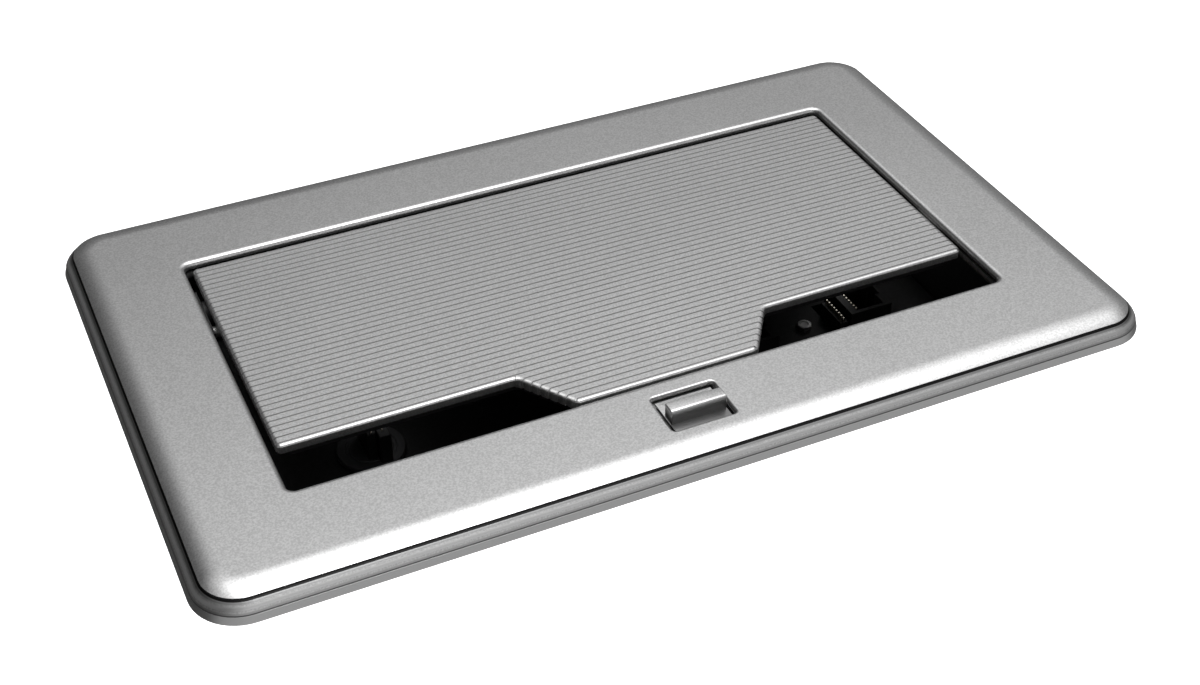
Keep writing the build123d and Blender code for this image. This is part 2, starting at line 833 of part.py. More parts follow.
def enclosure_screw_places():
    """Places, pointing inwards, of the screws between the wrap and the side plates' flanges."""
    x = box_length / 2 - sheet - side_flange / 2
    zs = (-enclosure_screw_drop, enclosure_screw_rise - box_depth)
    face = box_width / 2
    return [Pos(side * x, end * face, z) * Rot(-90 * end, 0, 0)
            for side in (-1, 1) for end in (-1, 1) for z in zs]


def make_enclosure_screws():
    """Heads of the eight screws through the wrap into the side plates' flanges."""
    return group([place * screw_head(head_m3) for place in enclosure_screw_places()])


def make_cable_grommet():
    """Rubber grommet in the right-hand cable outlet of the back wall."""
    wall = sheet / 2
    lip = wall + grommet_lip_thickness
    outer = outlet_radius + grommet_lip
    face = outer - grommet_slope
    half = Polyline((grommet_bore, -lip), (face, -lip), (outer, -wall), (outlet_radius, -wall),
                    (outlet_radius, wall), (outer, wall), (face, lip), (grommet_bore, lip), close=True)
    body = revolve(make_face(Plane.XZ * half), Axis.Z)
    middle = box_width / 2 - sheet / 2
    return Pos(outlet_spacing / 2, middle, outlet_height - box_depth) * Rot(90, 0, 0) * body


def make_connector_plate():
    """Bent steel plate for the connectors, with side flanges for the height screws."""
    half = carrier_half
    bottom = carrier_top - carrier_flange
    body = span((-half, half), (carrier_front, carrier_back), (bottom, carrier_top))
    body = fillet(body.edges().group_by(Axis.Z)[-1].filter_by(Axis.Y), carrier_sheet)
    inner = half - carrier_sheet
    front, back = carrier_front + carrier_sheet, carrier_back - carrier_sheet
    body -= span((-inner, inner), (front, back), (bottom, carrier_top - carrier_sheet))
    low = carrier_top - carrier_lip
    body -= span((-inner, inner), (carrier_front, carrier_back), (bottom, low))
    for y in height_screw_ys:
        hole = rod(height_shank + fit_play, inner, half, "X", (y, height_screw_z))
        body -= [hole, mirrored(hole)]
    thick = (carrier_top - carrier_sheet, carrier_top)
    body -= rod(coupler_body + panel_play / 2, *thick, at=(coupler_x, coupler_y))
    for x in (jack_x, jack_x - jack_pitch):
        left = x - header_offset - header_width / 2 - panel_play
        right = x + jack_length / 2 + panel_play
        reach = jack_width / 2 + panel_play
        body -= span((left, right), (jack_y - reach, jack_y + reach), thick)
    reach, deep = blank_length / 2 - 2 * blank_margin, blank_width / 2 - blank_margin
    return body - span((blank_x - reach, blank_x + reach), (blank_y - deep, blank_y + deep), thick)


def make_height_screws():
    """Four screws in the side slots that clamp the connector plate at its height."""
    outer = box_length / 2 + running_gap
    pieces = []
    for y in height_screw_ys:
        shank = rod(height_shank, carrier_half - carrier_sheet, outer, "X", (y, height_screw_z))
        head = Pos(outer, y, height_screw_z) * Rot(0, 90, 0) * screw_head(head_m4)
        pieces += [shank + head, mirrored(shank + head)]
    return group(pieces)


def make_height_nuts():
    """Four hexagon cap nuts on the inside of the plate's flanges."""
    inner = carrier_half - carrier_sheet
    nut = Rot(0, -90, 0) * screw_head((nut_radius, nut_length))
    nuts = [Pos(inner, y, height_screw_z) * nut for y in height_screw_ys]
    return group(nuts + [mirrored(nut) for nut in nuts])


def board_ends():
    """Ends of the jack board along X."""
    left = jack_x - jack_pitch - header_offset - header_width / 2 - panel_play - board_margin
    right = jack_x + jack_length / 2 + panel_play + board_margin + 2 * spacer_radius
    return (left, right)


def board_screw_places():
    """Centres of the three screws that hold the jack board under the plate."""
    left, right = board_ends()
    between = jack_x - jack_pitch + jack_length / 2 + board_screw_gap
    inset = spacer_radius + board_screw_end
    back = jack_y + jack_width / 2 + spacer_radius + board_screw_back
    return [(between, jack_y), (left + inset, back), (right - inset, back)]


def make_jack_board():
    """Circuit board under the plate that carries the jacks and the pin headers."""
    front = carrier_front + carrier_sheet + board_margin
    return span(board_ends(), (front, jack_y + board_back), (board_top - board_thickness, board_top))


def make_board_spacers():
    """Hexagon spacers between the plate and the jack board."""
    spacer = screw_head((spacer_radius, board_gap))
    return group([Pos(x, y, board_top) * spacer for x, y in board_screw_places()])


def make_board_screws():
    """Heads of the screws that go down through the plate into the spacers."""
    return group([Pos(x, y, carrier_top) * screw_head(head_m25) for x, y in board_screw_places()])


def make_modular_jack(x):
    """Jack housing with an open port on top and a keyway for the plug's catch."""
    y = (jack_y - jack_width / 2, jack_y + jack_width / 2)
    body = span((x - jack_length / 2, x + jack_length / 2), y, (board_top, jack_top))
    port = jack_top - jack_port_depth
    body -= span((x - jack_port_length / 2, x + jack_port_length / 2),
                 (jack_y - jack_port_width / 2, jack_y + jack_port_width / 2), (port, jack_top))
    half = jack_key_width / 2
    key = span((x, x + jack_length / 2 - jack_key_wall), (jack_y - half, jack_y + half),
               (port + jack_key_floor, jack_top))
    return body - key


def make_jack_contacts(x):
    """Row of bent spring contacts that reach over the edge of the port and down into it."""
    left = x - jack_port_length / 2
    wall = left + contact_thickness / 2
    path = [(wall, jack_top - contact_root), (wall, jack_top - contact_bend),
            (left + contact_bend, jack_top - contact_crest),
            (left + contact_tip_reach, jack_top - contact_tip_drop)]
    strip = trace(Polyline(*path), line_width=contact_thickness)
    start = jack_y - contact_pitch * (contact_count - 1) / 2 - contact_width / 2
    pieces = []
    for place in range(contact_count):
        y = start + place * contact_pitch
        plane = Plane(origin=(0, y, 0), x_dir=(1, 0, 0), z_dir=(0, -1, 0))
        pieces.append(extrude(plane * strip, -contact_width))
    return group(pieces)


def header_top():
    """Height of the top of the pin headers."""
    return jack_top - header_drop


def make_pin_header(x):
    """Black header strip beside a jack."""
    reach = contact_pitch * header_count / 2
    y = jack_y + header_shift
    middle = x - header_offset
    return span((middle - header_width / 2, middle + header_width / 2), (y - reach, y + reach),
                (board_top, header_top()))


def make_header_pins():
    """Square pins that stand out of the two headers."""
    pieces = []
    for x in (jack_x, jack_x - jack_pitch):
        middle = x - header_offset
        start = jack_y + header_shift - contact_pitch * (header_count - 1) / 2
        for place in range(header_count):
            y = start + place * contact_pitch
            pieces.append(span((middle - header_pin / 2, middle + header_pin / 2),
                               (y - header_pin / 2, y + header_pin / 2),
                               (header_top(), header_top() + header_pin_rise)))
    return group(pieces)


def make_coupler_base():
    """Round base of the data coupler: a flange on the plate and a body through it."""
    flange = rod(coupler_radius, carrier_top, carrier_top + coupler_flange, at=(coupler_x, coupler_y))
    body = rod(coupler_body, carrier_top - coupler_depth, carrier_top, at=(coupler_x, coupler_y))
    return chamfer(flange.edges().sort_by(Axis.Z)[-1], coupler_flange * 0.4) + body


def block_span(side):
    """Limits along X of one upright block: side 0 is the left one, side 1 the right one."""
    if side == 0:
        return (block_middle - block_gap / 2 - block_widths[0], block_middle - block_gap / 2)
    return (block_middle + block_gap / 2, block_middle + block_gap / 2 + block_widths[1])


def make_coupler_block(side):
    """Upright contact block on the round base."""
    bottom = carrier_top + coupler_flange
    reach = (coupler_y - block_fronts[side], coupler_y + block_back)
    block = span(block_span(side), reach, (bottom, bottom + block_rise))
    return chamfer(block.edges().group_by(Axis.Z)[-1], 0.2)


def make_coupler_pins():
    """Two rows of contacts on top of the blocks."""
    top = carrier_top + coupler_flange + block_rise
    pieces = []
    for side in (0, 1):
        x = sum(block_span(side)) / 2
        for place in range(coupler_pin_count):
            y = coupler_y - coupler_pin_front + place * coupler_pin_pitch
            half = coupler_pin / 2
            rise = (top, top + coupler_pin_rise)
            pieces.append(span((x - half, x + half), (y - half, y + half), rise))
    return group(pieces)


def blank_screw_places():
    """Centres of the two screws of the blank plate."""
    reach = blank_length / 2 - blank_margin
    return [(blank_x - reach, blank_y), (blank_x + reach, blank_y)]


def make_blank_plate():
    """Plate over the spare cut-out."""
    outline = RectangleRounded(blank_length, blank_width, 2.0)
    return Pos(blank_x, blank_y, carrier_top) * extrude(outline, blank_thickness)


def make_blank_screws():
    """Heads of the two screws that hold the blank plate."""
    z = carrier_top + blank_thickness
    return group([Pos(x, y, z) * screw_head(head_m25) for x, y in blank_screw_places()])


def clamp_bracket_screw_places():
    """Places, pointing inwards, of the screws through the clamp brackets' legs."""
    z = -clamp_arm_drop - clamp_arm_thickness - clamp_leg / 2
    reach = clamp_arm_width / 2 - clamp_screw_margin
    outer = box_length / 2 + clamp_leg_thickness
    right = [Pos(outer, clamp_y + y, z) * Rot(0, 90, 0) for y in (-reach, reach)]
    left = [Pos(-outer, clamp_y + y, z) * Rot(0, -90, 0) for y in (-reach, reach)]
    return right + left


def make_clamp_bracket():
    """Right-hand angle bracket: leg on the side plate, arm with a threaded boss, two gussets."""
    inner, end = box_length / 2, clamp_x + clamp_arm_end
    y = (clamp_y - clamp_arm_width / 2, clamp_y + clamp_arm_width / 2)
    top, under = -clamp_arm_drop, -clamp_arm_drop - clamp_arm_thickness
    arm = span((inner, end), y, (under, top))
    arm = fillet(arm.edges().filter_by(Axis.Z).group_by(Axis.X)[-1], clamp_arm_width * 0.3)
    leg = span((inner, inner + clamp_leg_thickness), y, (under - clamp_leg, top))
    body = arm + leg + rod(clamp_boss_radius, under - clamp_boss_height, under, at=(clamp_x, clamp_y))
    reach = clamp_x - clamp_boss_radius - inner - clamp_leg_thickness
    for edge in (y[0], y[1] - clamp_leg_thickness):
        corner = make_face(Polyline((0, 0), (reach, 0), (0, -reach), close=True))
        origin = (inner + clamp_leg_thickness, edge, under)
        plane = Plane(origin=origin, x_dir=(1, 0, 0), z_dir=(0, -1, 0))
        body += extrude(plane * corner, -clamp_leg_thickness)
    thread = clamp_screw_radius + clamp_thread_gap
    return body - rod(thread, under - clamp_boss_height, top, at=(clamp_x, clamp_y))


def make_clamp_bracket_screws():
    """Heads of the screws that hold the clamp brackets to the side plates."""
    return group([place * screw_head(head_m3) for place in clamp_bracket_screw_places()])


def make_clamp_foot():
    """Round foot on the right-hand wing screw, which presses against the underside of the table."""
    bottom = clamp_foot_top - clamp_foot_height
    foot = rod(clamp_foot_radius, bottom, clamp_foot_top, at=(clamp_x, clamp_y))
    return chamfer(foot.edges().sort_by(Axis.Z)[0], clamp_foot_height * 0.35)


def make_clamp_screw():
    """Right-hand wing screw: threaded rod, hub and two wings."""
    top = clamp_foot_top - clamp_foot_height
    under = -clamp_arm_drop - clamp_arm_thickness - clamp_boss_height
    hub_top = under - clamp_travel - running_gap
    shank = rod(clamp_screw_radius, hub_top, top, at=(clamp_x, clamp_y))
    hub = rod(wing_hub_radius, hub_top - wing_height, hub_top, at=(clamp_x, clamp_y))
    wings = span((clamp_x - wing_thickness / 2, clamp_x + wing_thickness / 2),
                 (clamp_y - wing_span / 2, clamp_y + wing_span / 2),
                 (hub_top - wing_height, hub_top - wing_shoulder))
    wings = fillet(wings.edges().filter_by(Axis.X), wing_height * 0.3)
    return shank + hub + wings


def make_parts():
    """Every sub-part by its name."""
    parts = {
        "base_rim": make_base_rim(),
        "top_bezel": make_top_bezel(),
        "parting_seal": make_parting_seal(),
        "table_gasket": make_table_gasket(),
        "bezel_screws": make_bezel_screws(),
        "latch_guide": make_latch_guide(),
        "latch_guide_screws": make_latch_guide_screws(),
        "latch_slider": make_latch_slider(),
        "latch_magnet": make_latch_magnet(),
        "latch_spring": make_latch_spring(),
        "lid_panel": make_lid_panel(),
        "lid_underframe": make_lid_underframe(),
        "lid_screws": make_lid_screws(),
        "striker_plate": make_striker_plate(),
        "lid_bumpers": make_lid_bumpers(),
        "bracket_screws": make_bracket_screws(),
        "skirt_screws": make_skirt_screws(),
        "enclosure_wrap": make_enclosure_wrap(),
        "enclosure_screws": make_enclosure_screws(),
        "connector_plate": make_connector_plate(),
        "height_screws": make_height_screws(),
        "height_nuts": make_height_nuts(),
        "jack_board": make_jack_board(),
        "board_spacers": make_board_spacers(),
        "board_screws": make_board_screws(),
        "header_pins": make_header_pins(),
        "coupler_base": make_coupler_base(),
        "coupler_block_left": make_coupler_block(0),
        "coupler_block_right": make_coupler_block(1),
        "coupler_pins": make_coupler_pins(),
        "blank_plate": make_blank_plate(),
        "blank_screws": make_blank_screws(),
        "clamp_bracket_screws": make_clamp_bracket_screws(),
    }
    for side, x in (("right", jack_x), ("left", jack_x - jack_pitch)):
        parts[f"modular_jack_{side}"] = make_modular_jack(x)
        parts[f"jack_contacts_{side}"] = make_jack_contacts(x)
        parts[f"pin_header_{side}"] = make_pin_header(x)
    pairs = {
        "hinge_bush": make_hinge_bush(),
        "hinge_washer": make_hinge_washer(),
        "hinge_pin": make_hinge_pin(),
        "hinge_bracket": make_hinge_bracket(),
        "stop_pin": make_stop_pin(),
        "side_plate": make_side_plate(),
        "cable_grommet": make_cable_grommet(),
        "clamp_bracket": make_clamp_bracket(),
        "clamp_foot": make_clamp_foot(),
        "clamp_screw": make_clamp_screw(),
    }
    for name, piece in pairs.items():
        parts[f"{name}_right"] = piece
        parts[f"{name}_left"] = mirrored(piece)
    return parts


os.makedirs("parts", exist_ok=True)
for name, shape in make_parts().items():
    export_step(shape, f"parts/{name}.step")
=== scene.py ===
"""Looks of the flip-top table box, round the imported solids, in metres."""

import json
import math

import bpy
import numpy as np
from bpy.props import FloatProperty, FloatVectorProperty, IntProperty, PointerProperty
from bpy.types import Operator, Panel, PropertyGroup
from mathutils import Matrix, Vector


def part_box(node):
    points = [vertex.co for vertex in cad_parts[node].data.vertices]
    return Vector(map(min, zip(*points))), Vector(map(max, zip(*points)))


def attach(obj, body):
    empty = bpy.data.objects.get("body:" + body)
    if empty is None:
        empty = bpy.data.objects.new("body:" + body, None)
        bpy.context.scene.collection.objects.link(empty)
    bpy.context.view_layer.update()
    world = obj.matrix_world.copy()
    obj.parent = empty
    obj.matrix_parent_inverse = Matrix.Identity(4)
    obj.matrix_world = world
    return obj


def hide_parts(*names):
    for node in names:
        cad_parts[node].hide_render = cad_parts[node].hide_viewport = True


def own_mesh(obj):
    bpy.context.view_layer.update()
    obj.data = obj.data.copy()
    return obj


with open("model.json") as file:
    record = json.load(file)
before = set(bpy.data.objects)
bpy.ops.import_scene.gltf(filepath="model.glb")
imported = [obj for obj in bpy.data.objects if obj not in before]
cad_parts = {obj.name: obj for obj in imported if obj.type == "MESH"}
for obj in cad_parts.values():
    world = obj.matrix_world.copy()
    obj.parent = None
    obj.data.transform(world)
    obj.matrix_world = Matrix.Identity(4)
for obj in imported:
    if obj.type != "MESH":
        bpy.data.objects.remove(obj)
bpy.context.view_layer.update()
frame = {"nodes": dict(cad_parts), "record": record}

bl_info = {
    "name": "Flip-top table box",
    "version": (1, 0, 0),
    "blender": (4, 5, 0),
    "location": "3D View > Sidebar > Table box",
    "description": "Builds the visible pieces and finishes of a flip-top table box",
    "category": "Add Mesh",
}

MM = 0.001
HAIR = 0.02 * MM    # keeps two faces apart that would otherwise lie on each other
SOFT = 0.05 * MM    # rounding of hidden edges, and overlap of parts of one piece


# Sizes and colours a user may change

def length(name, description, millimetres):
    """A length property, stored in metres."""
    return FloatProperty(name=name, description=description, default=millimetres * MM, min=0.0,
                         precision=5, subtype="DISTANCE", unit="LENGTH")


def position(name, description, millimetres):
    """A place along an axis, stored in metres."""
    return FloatProperty(name=name, description=description, default=millimetres * MM,
                         precision=5, subtype="DISTANCE", unit="LENGTH")


def colour(name, description, red, green, blue):
    """A colour property."""
    return FloatVectorProperty(name=name, description=description, default=(red, green, blue),
                               min=0.0, max=1.0, size=3, subtype="COLOR")


class FrameSizes(PropertyGroup):
    """Sizes of the bezel and of the opening for the lid"""
    rim_length: length("Rim length", "Base rim along the long side", 243.0)
    rim_width: length("Rim width", "Base rim from hinge side to latch side", 150.0)
    rim_height: length("Rim height", "Height of the base rim above the table", 4.4)
    bezel_setback: length("Bezel setback", "How far the bezel's edge stands back from the rim", 3.0)
    bezel_corner: length("Bezel corner", "Corner radius of the bezel", 9.0)
    bezel_top: length("Bezel top", "Height of the bezel's flat top above the table", 6.4)
    bezel_round: length("Bezel rounding", "Width of the rounded outer edge", 5.5)
    bezel_edge: length("Bezel edge", "Upright edge below the rounding", 0.15)
    bezel_tuck: length("Bezel tuck", "How far that edge tucks in under the rounding", 0.08)
    parting_gap: length("Parting gap", "Height of the dark line between the frames", 0.4)
    rebate: length("Rebate", "Depth of the rebate that holds the seal", 2.3)
    seal_front: length("Seal front", "From the bezel's edge back to the seal", 0.03)
    seal_back: length("Seal back", "From the bezel's edge to the seal's back", 2.2)
    opening_length: length("Opening length", "Opening for the lid along the long side", 187.6)
    opening_width: length("Opening width", "Opening for the lid across", 93.1)
    opening_shift: position("Opening shift", "How far the opening stands towards the hinge", 0.4)
    opening_corner: length("Opening corner", "Corner radius of the opening", 2.0)
    opening_round: length("Opening rounding", "Rounding of the opening's edge", 1.3)
    skirt_wall: length("Skirt wall", "Wall of the skirt round the opening", 1.5)
    skirt_bottom: position("Skirt bottom", "Height of the skirt's lower edge", 2.1)


class LidSizes(PropertyGroup):
    """Sizes of the grooved lid"""
    half: length("Half length", "From the middle to an end of the lid", 92.0)
    front: position("Front", "Front edge of the tongue", -45.25)
    back: position("Back", "Back edge of the lid", 44.25)
    notch_front: position("Notch", "Front edge of the lid beside the tongue", -31.25)
    top: position("Top", "Height of the lid's top", 6.4)
    bottom: position("Bottom", "Height of the lid's underside", 3.8)
    corner: length("Corner", "Radius of the outer corners", 1.2)
    tongue_root: length("Tongue root", "Width of the tongue at its root", 67.0)
    tongue_tip: length("Tongue tip", "Width of the tongue at its tip", 48.0)
    tongue_corner: length("Tongue corner", "Radius of the tongue's corners", 2.2)
    edge_drop: length("Edge drop", "Height of the upper edge's rounding", 0.7)
    edge_reach: length("Edge reach", "Width of the upper edge's rounding", 1.05)
    groove_pitch: length("Groove pitch", "Spacing of the grooves", 2.0)
    groove_width: length("Groove width", "Width of a groove at the top", 0.5)
    groove_depth: length("Groove depth", "Depth of a groove", 0.25)
    groove_side: length("Groove side", "Width of a groove's sloping side", 0.08)
    groove_margin: length("Groove margin", "From the front edge to the first groove", 1.1)


class LatchSizes(PropertyGroup):
    """Sizes of the latch window, the sliding plate and its finger bar"""
    window_length: length("Window length", "Latch window along the long side", 16.5)
    window_front: position("Window front", "Front edge of the window", -63.95)
    window_back: position("Window back", "Back edge of the window", -51.35)
    window_corner: length("Window corner", "Corner radius of the window", 1.0)
    window_edge: length("Window edge", "Softened edge of the window", 0.6)
    roof: position("Roof", "Underside of the bezel over the sliding plate", 5.35)
    guide_reach: length("Guide reach", "Pocket beside and in front of the window", 4.3)
    guide_front: position("Guide front", "Front of the latch guide", -68.25)
    guide_back: position("Guide back", "Back of the latch guide", -47.95)
    guide_bottom: position("Guide bottom", "Underside of the latch guide", 2.9)
    pocket_margin: length("Pocket margin", "From the guide's pocket to the strip round it", 1.45)
    plate_step: length("Plate step", "Step at the back of the sliding plate", 0.8)
    plate_edge: length("Plate edge", "Softened edge of the sliding plate", 0.12)
    slider_gap: length("Slider gap", "From the sliding plate to the window's sides", 0.4)
    side_step: length("Side step", "Step along the sides of the sliding plate", 0.5)
    slider_top: position("Slider top", "Top of the sliding plate", 5.25)
    slider_bottom: position("Slider bottom", "Underside of the sliding plate", 4.15)
    blade_thickness: length("Blade thickness", "Thin back part of the sliding plate", 0.3)
    bar_length: length("Bar length", "Finger bar along the long side", 14.4)
    bar_front: position("Bar front", "Front face of the finger bar", -60.65)
    bar_thickness: length("Bar thickness", "Finger bar across", 3.6)
    bar_top: position("Bar top", "Height of the finger bar's top", 9.1)
    bar_round: length("Bar rounding", "Rounding of the bar's upper front edge", 0.9)
    bar_edge: length("Bar edge", "Softened other edges of the bar", 0.3)
    bar_foot: length("Bar foot", "How far the bar reaches into the plate", 0.1)
    nose_length: length("Nose length", "Nose that holds the magnet, across", 5.1)
    nose_width: length("Nose width", "Nose along the long side", 8.4)
    nose_drop: length("Nose drop", "How far the nose hangs down", 5.6)
    tab_front: position("Tab front", "Front face of the spring's tab", -57.25)
    tab_thickness: length("Tab thickness", "Tab across", 1.2)
    tab_width: length("Tab width", "Tab along the long side", 7.0)
    tab_gap: length("Tab gap", "From the guide's floor to tab and spring", 0.1)
    travel: length("Travel", "How far the latch slides", 3.0)
    spring_turns: IntProperty(name="Spring turns", description="Waves of the spring", default=4, min=1)
    spring_width: length("Spring width", "Return spring along the long side", 8.0)
    spring_wire: length("Spring wire", "Diameter of the spring's wire", 0.6)
    shelf_depth: length("Shelf depth", "Shelf under the tongue, across", 5.0)
    shelf_length: length("Shelf length", "Shelf along the long side", 44.0)
    shelf_top: position("Shelf top", "Height of the shelf", -0.5)
    shelf_bottom: position("Shelf bottom", "Underside of the shelf", -1.8)
    shelf_edge: length("Shelf edge", "Softened edge of the shelf", 0.2)


class ConnectorSizes(PropertyGroup):
    """Sizes of the contacts and of the coupler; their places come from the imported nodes"""
    contact_thickness: length("Contact thickness", "Thickness of a contact", 0.3)
    contact_depth: length("Contact depth", "How far a contact reaches down", 8.0)
    contact_over: length("Contact over", "Middle of a contact's bend, from the port's side", 0.9)
    contact_tip: length("Contact tip", "Tip of a contact, from the port's side", 2.5)
    pin_corner: length("Pin corner", "Softened upright edges of a pin", 0.06)
    pin_tip: length("Pin tip", "Softened tip of a pin", 0.12)
    coupler_radius: length("Coupler radius", "Flange of the round base", 8.7)
    coupler_body: length("Coupler body", "Round base through the plate", 7.2)
    coupler_flange: length("Coupler flange", "Thickness of the flange", 1.2)
    coupler_edge: length("Coupler edge", "Rounding of the flange", 0.35)
    coupler_groove: length("Coupler groove", "Depth of the ring groove in the base", 0.25)
    block_edge: length("Block edge", "Softened edges of the upright blocks", 0.25)
    dome_foot: length("Dome foot", "Straight side of a block's contact", 0.1)


class ClampSizes(PropertyGroup):
    """Sizes of the wing screws, their feet and the grommets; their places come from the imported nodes"""
    sheet: length("Sheet", "Thickness of the sheet metal", 1.2)
    outlet_radius: length("Outlet radius", "Radius of the cable outlets", 12.0)
    grommet_bore: length("Grommet bore", "Radius of the grommets' bores", 9.0)
    bore_edge: length("Bore edge", "Chamfer of the grommets' bores", 0.4)
    lip_shoulder: length("Lip shoulder", "Flat ring between a grommet's bulge and bore", 1.2)
    foot_radius: length("Foot radius", "Radius of a foot", 6.5)
    foot_chamfer: length("Foot chamfer", "Chamfer under a foot", 1.3)
    foot_groove: length("Foot groove", "Depth of the groove round a foot", 0.25)
    shank_radius: length("Shank radius", "Outer radius of the wing screws' threads", 2.5)
    thread_pitch: length("Thread pitch", "Rise of the thread in one turn", 1.0)
    thread_depth: length("Thread depth", "Depth of the thread", 0.3)
    wing_height: length("Wing height", "Height of the wings and the hub", 8.0)
    wing_thickness: length("Wing thickness", "Thickness of a wing", 2.2)
    wing_drop: length("Wing drop", "From the hub's top down to the wings", 1.0)
    wing_corner: length("Wing corner", "Corner radius of the wings", 2.4)
    wing_edge: length("Wing edge", "Softened edges of hub and wings", 0.6)
    bolt_head: length("Bolt head", "Height of the height screws' heads", 2.4)
    bolt_radius: length("Bolt radius", "Radius of the height screws' shanks", 2.0)


class FinishColours(PropertyGroup):
    """Base colours of the finishes"""
    silver: colour("Silver", "Satin metal of the frames", 0.60, 0.60, 0.60)
    lid_silver: colour("Lid silver", "Grooved metal of the lid", 0.60, 0.60, 0.60)
    black_coat: colour("Black coat", "Powder coat of the box", 0.014, 0.014, 0.0145)
    black_plastic: colour("Black plastic", "Moulded parts", 0.015, 0.015, 0.0155)
    gold: colour("Gold", "Thin, pale plating of the contacts", 0.88, 0.82, 0.70)


class StageSettings(PropertyGroup):
    """Table surface and light"""
    table_reach: length("Table reach", "Half the side of the table surface", 4000.0)
    cutout_length: length("Cut-out length", "Cut-out in the table along the long side", 212.0)
    cutout_width: length("Cut-out width", "Cut-out in the table across", 120.0)
    lens: FloatProperty(name="Lens", description="Focal length in millimetres", default=52.25)


# Finishes

class Amount:
    """A number inside a material; sums and products of amounts add their Math nodes."""

    def __init__(self, finish, socket):
        self.finish, self.socket = finish, socket

    def combine(self, operation, *values):
        """One Math node on the values, in their order."""
        node = self.finish.node("ShaderNodeMath", {"operation": operation}, values)
        return Amount(self.finish, node.outputs[0])

    def __add__(self, other):
        return self.combine("ADD", self, other)

    def __radd__(self, other):
        return self.combine("ADD", other, self)

    def __sub__(self, other):
        return self.combine("SUBTRACT", self, other)

    def __rsub__(self, other):
        return self.combine("SUBTRACT", other, self)

    def __mul__(self, other):
        return self.combine("MULTIPLY", self, other)

    def __rmul__(self, other):
        return self.combine("MULTIPLY", other, self)

    def folded(self, size):
        """A triangle wave, which rises from 0 to the size and falls back."""
        return self.combine("PINGPONG", self, size)

    def sine(self):
        """The sine, of an amount in radians."""
        return self.combine("SINE", self)

    def over(self, low, high):
        """0 below low, 1 above high, and a smooth step between them."""
        values = {"Value": self, "From Min": low, "From Max": high}
        node = self.finish.node("ShaderNodeMapRange", {"interpolation_type": "SMOOTHSTEP"}, values)
        return Amount(self.finish, node.outputs["Result"])


class Shading:
    """Nodes in one tree, with the coordinates they work on."""

    def __init__(self, tree, shader, coordinates):
        self.tree = tree
        self.shader = tree.nodes[shader]
        self.place = self.node("ShaderNodeTexCoord").outputs[coordinates]

    def node(self, kind, settings=None, inputs=()):
        """Any node: its settings first, then the values or links of its sockets."""
        node = self.tree.nodes.new(kind)
        for key, value in (settings or {}).items():
            setattr(node, key, value)
        pairs = inputs.items() if isinstance(inputs, dict) else enumerate(inputs)
        for key, value in pairs:
            self.join(node.inputs[key], value)
        return node

    def join(self, socket, value):
        """Link a socket, or set its value."""
        if isinstance(value, Amount):
            value = value.socket
        if isinstance(value, bpy.types.NodeSocket):
            self.tree.links.new(value, socket)
        else:
            socket.default_value = value

    def stretched(self, scale):
        """The coordinates, stretched along each axis."""
        return self.node("ShaderNodeMapping", None, {"Vector": self.place, "Scale": scale}).outputs[0]

    def noise(self, scale, detail=2.0, roughness=0.5, place=None):
        """Fractal noise from 0 to 1, with about so many patches in a metre."""
        node = self.node("ShaderNodeTexNoise", {"noise_dimensions": "3D"}, {
            "Vector": place or self.place, "Scale": scale, "Detail": detail, "Roughness": roughness})
        return Amount(self, node.outputs["Fac"])

    def axis(self, letter):
        """One of the coordinates."""
        node = self.node("ShaderNodeSeparateXYZ", None, [self.place])
        return Amount(self, node.outputs[letter])

    def along(self, direction):
        """The coordinates' part along a direction."""
        node = self.node("ShaderNodeVectorMath", {"operation": "DOT_PRODUCT"}, [self.place, direction])
        return Amount(self, node.outputs["Value"])

    def mix(self, share, first, second):
        """A colour between two others; 6 and 7 are the node's two colour sockets."""
        node = self.node("ShaderNodeMix", {"data_type": "RGBA"}, {0: share, 6: first, 7: second})
        return node.outputs[2]

    def bump(self, height, distance):
        """Feed a relief to the shader's normal; distance is the relief's depth in metres."""
        node = self.node("ShaderNodeBump", None, {"Strength": 1.0, "Distance": distance, "Height": height})
        self.join(self.shader.inputs["Normal"], node.outputs["Normal"])

    def set(self, **values):
        """Set or link the shader's own sockets, by their names with underscores for spaces."""
        for key, value in values.items():
            self.join(self.shader.inputs[key.replace("_", " ")], value)


class Finish(Shading):
    """One procedural material, on the Object coordinates of the piece."""

    def __init__(self, name):
        packed = bpy.data.materials.get(name)
        if packed:
            packed.name = f"{name}_packed"
        self.material = bpy.data.materials.new(name)
        self.material.use_nodes = True
        super().__init__(self.material.node_tree, "Principled BSDF", "Object")

    def set(self, **values):
        """Set the shader's sockets and give the finished material."""
        super().set(**values)
        return self.material


def rgba(values, factor=1.0):
    """A colour with full alpha, made lighter or darker."""
    return (*[min(1.0, value * factor) for value in values], 1.0)


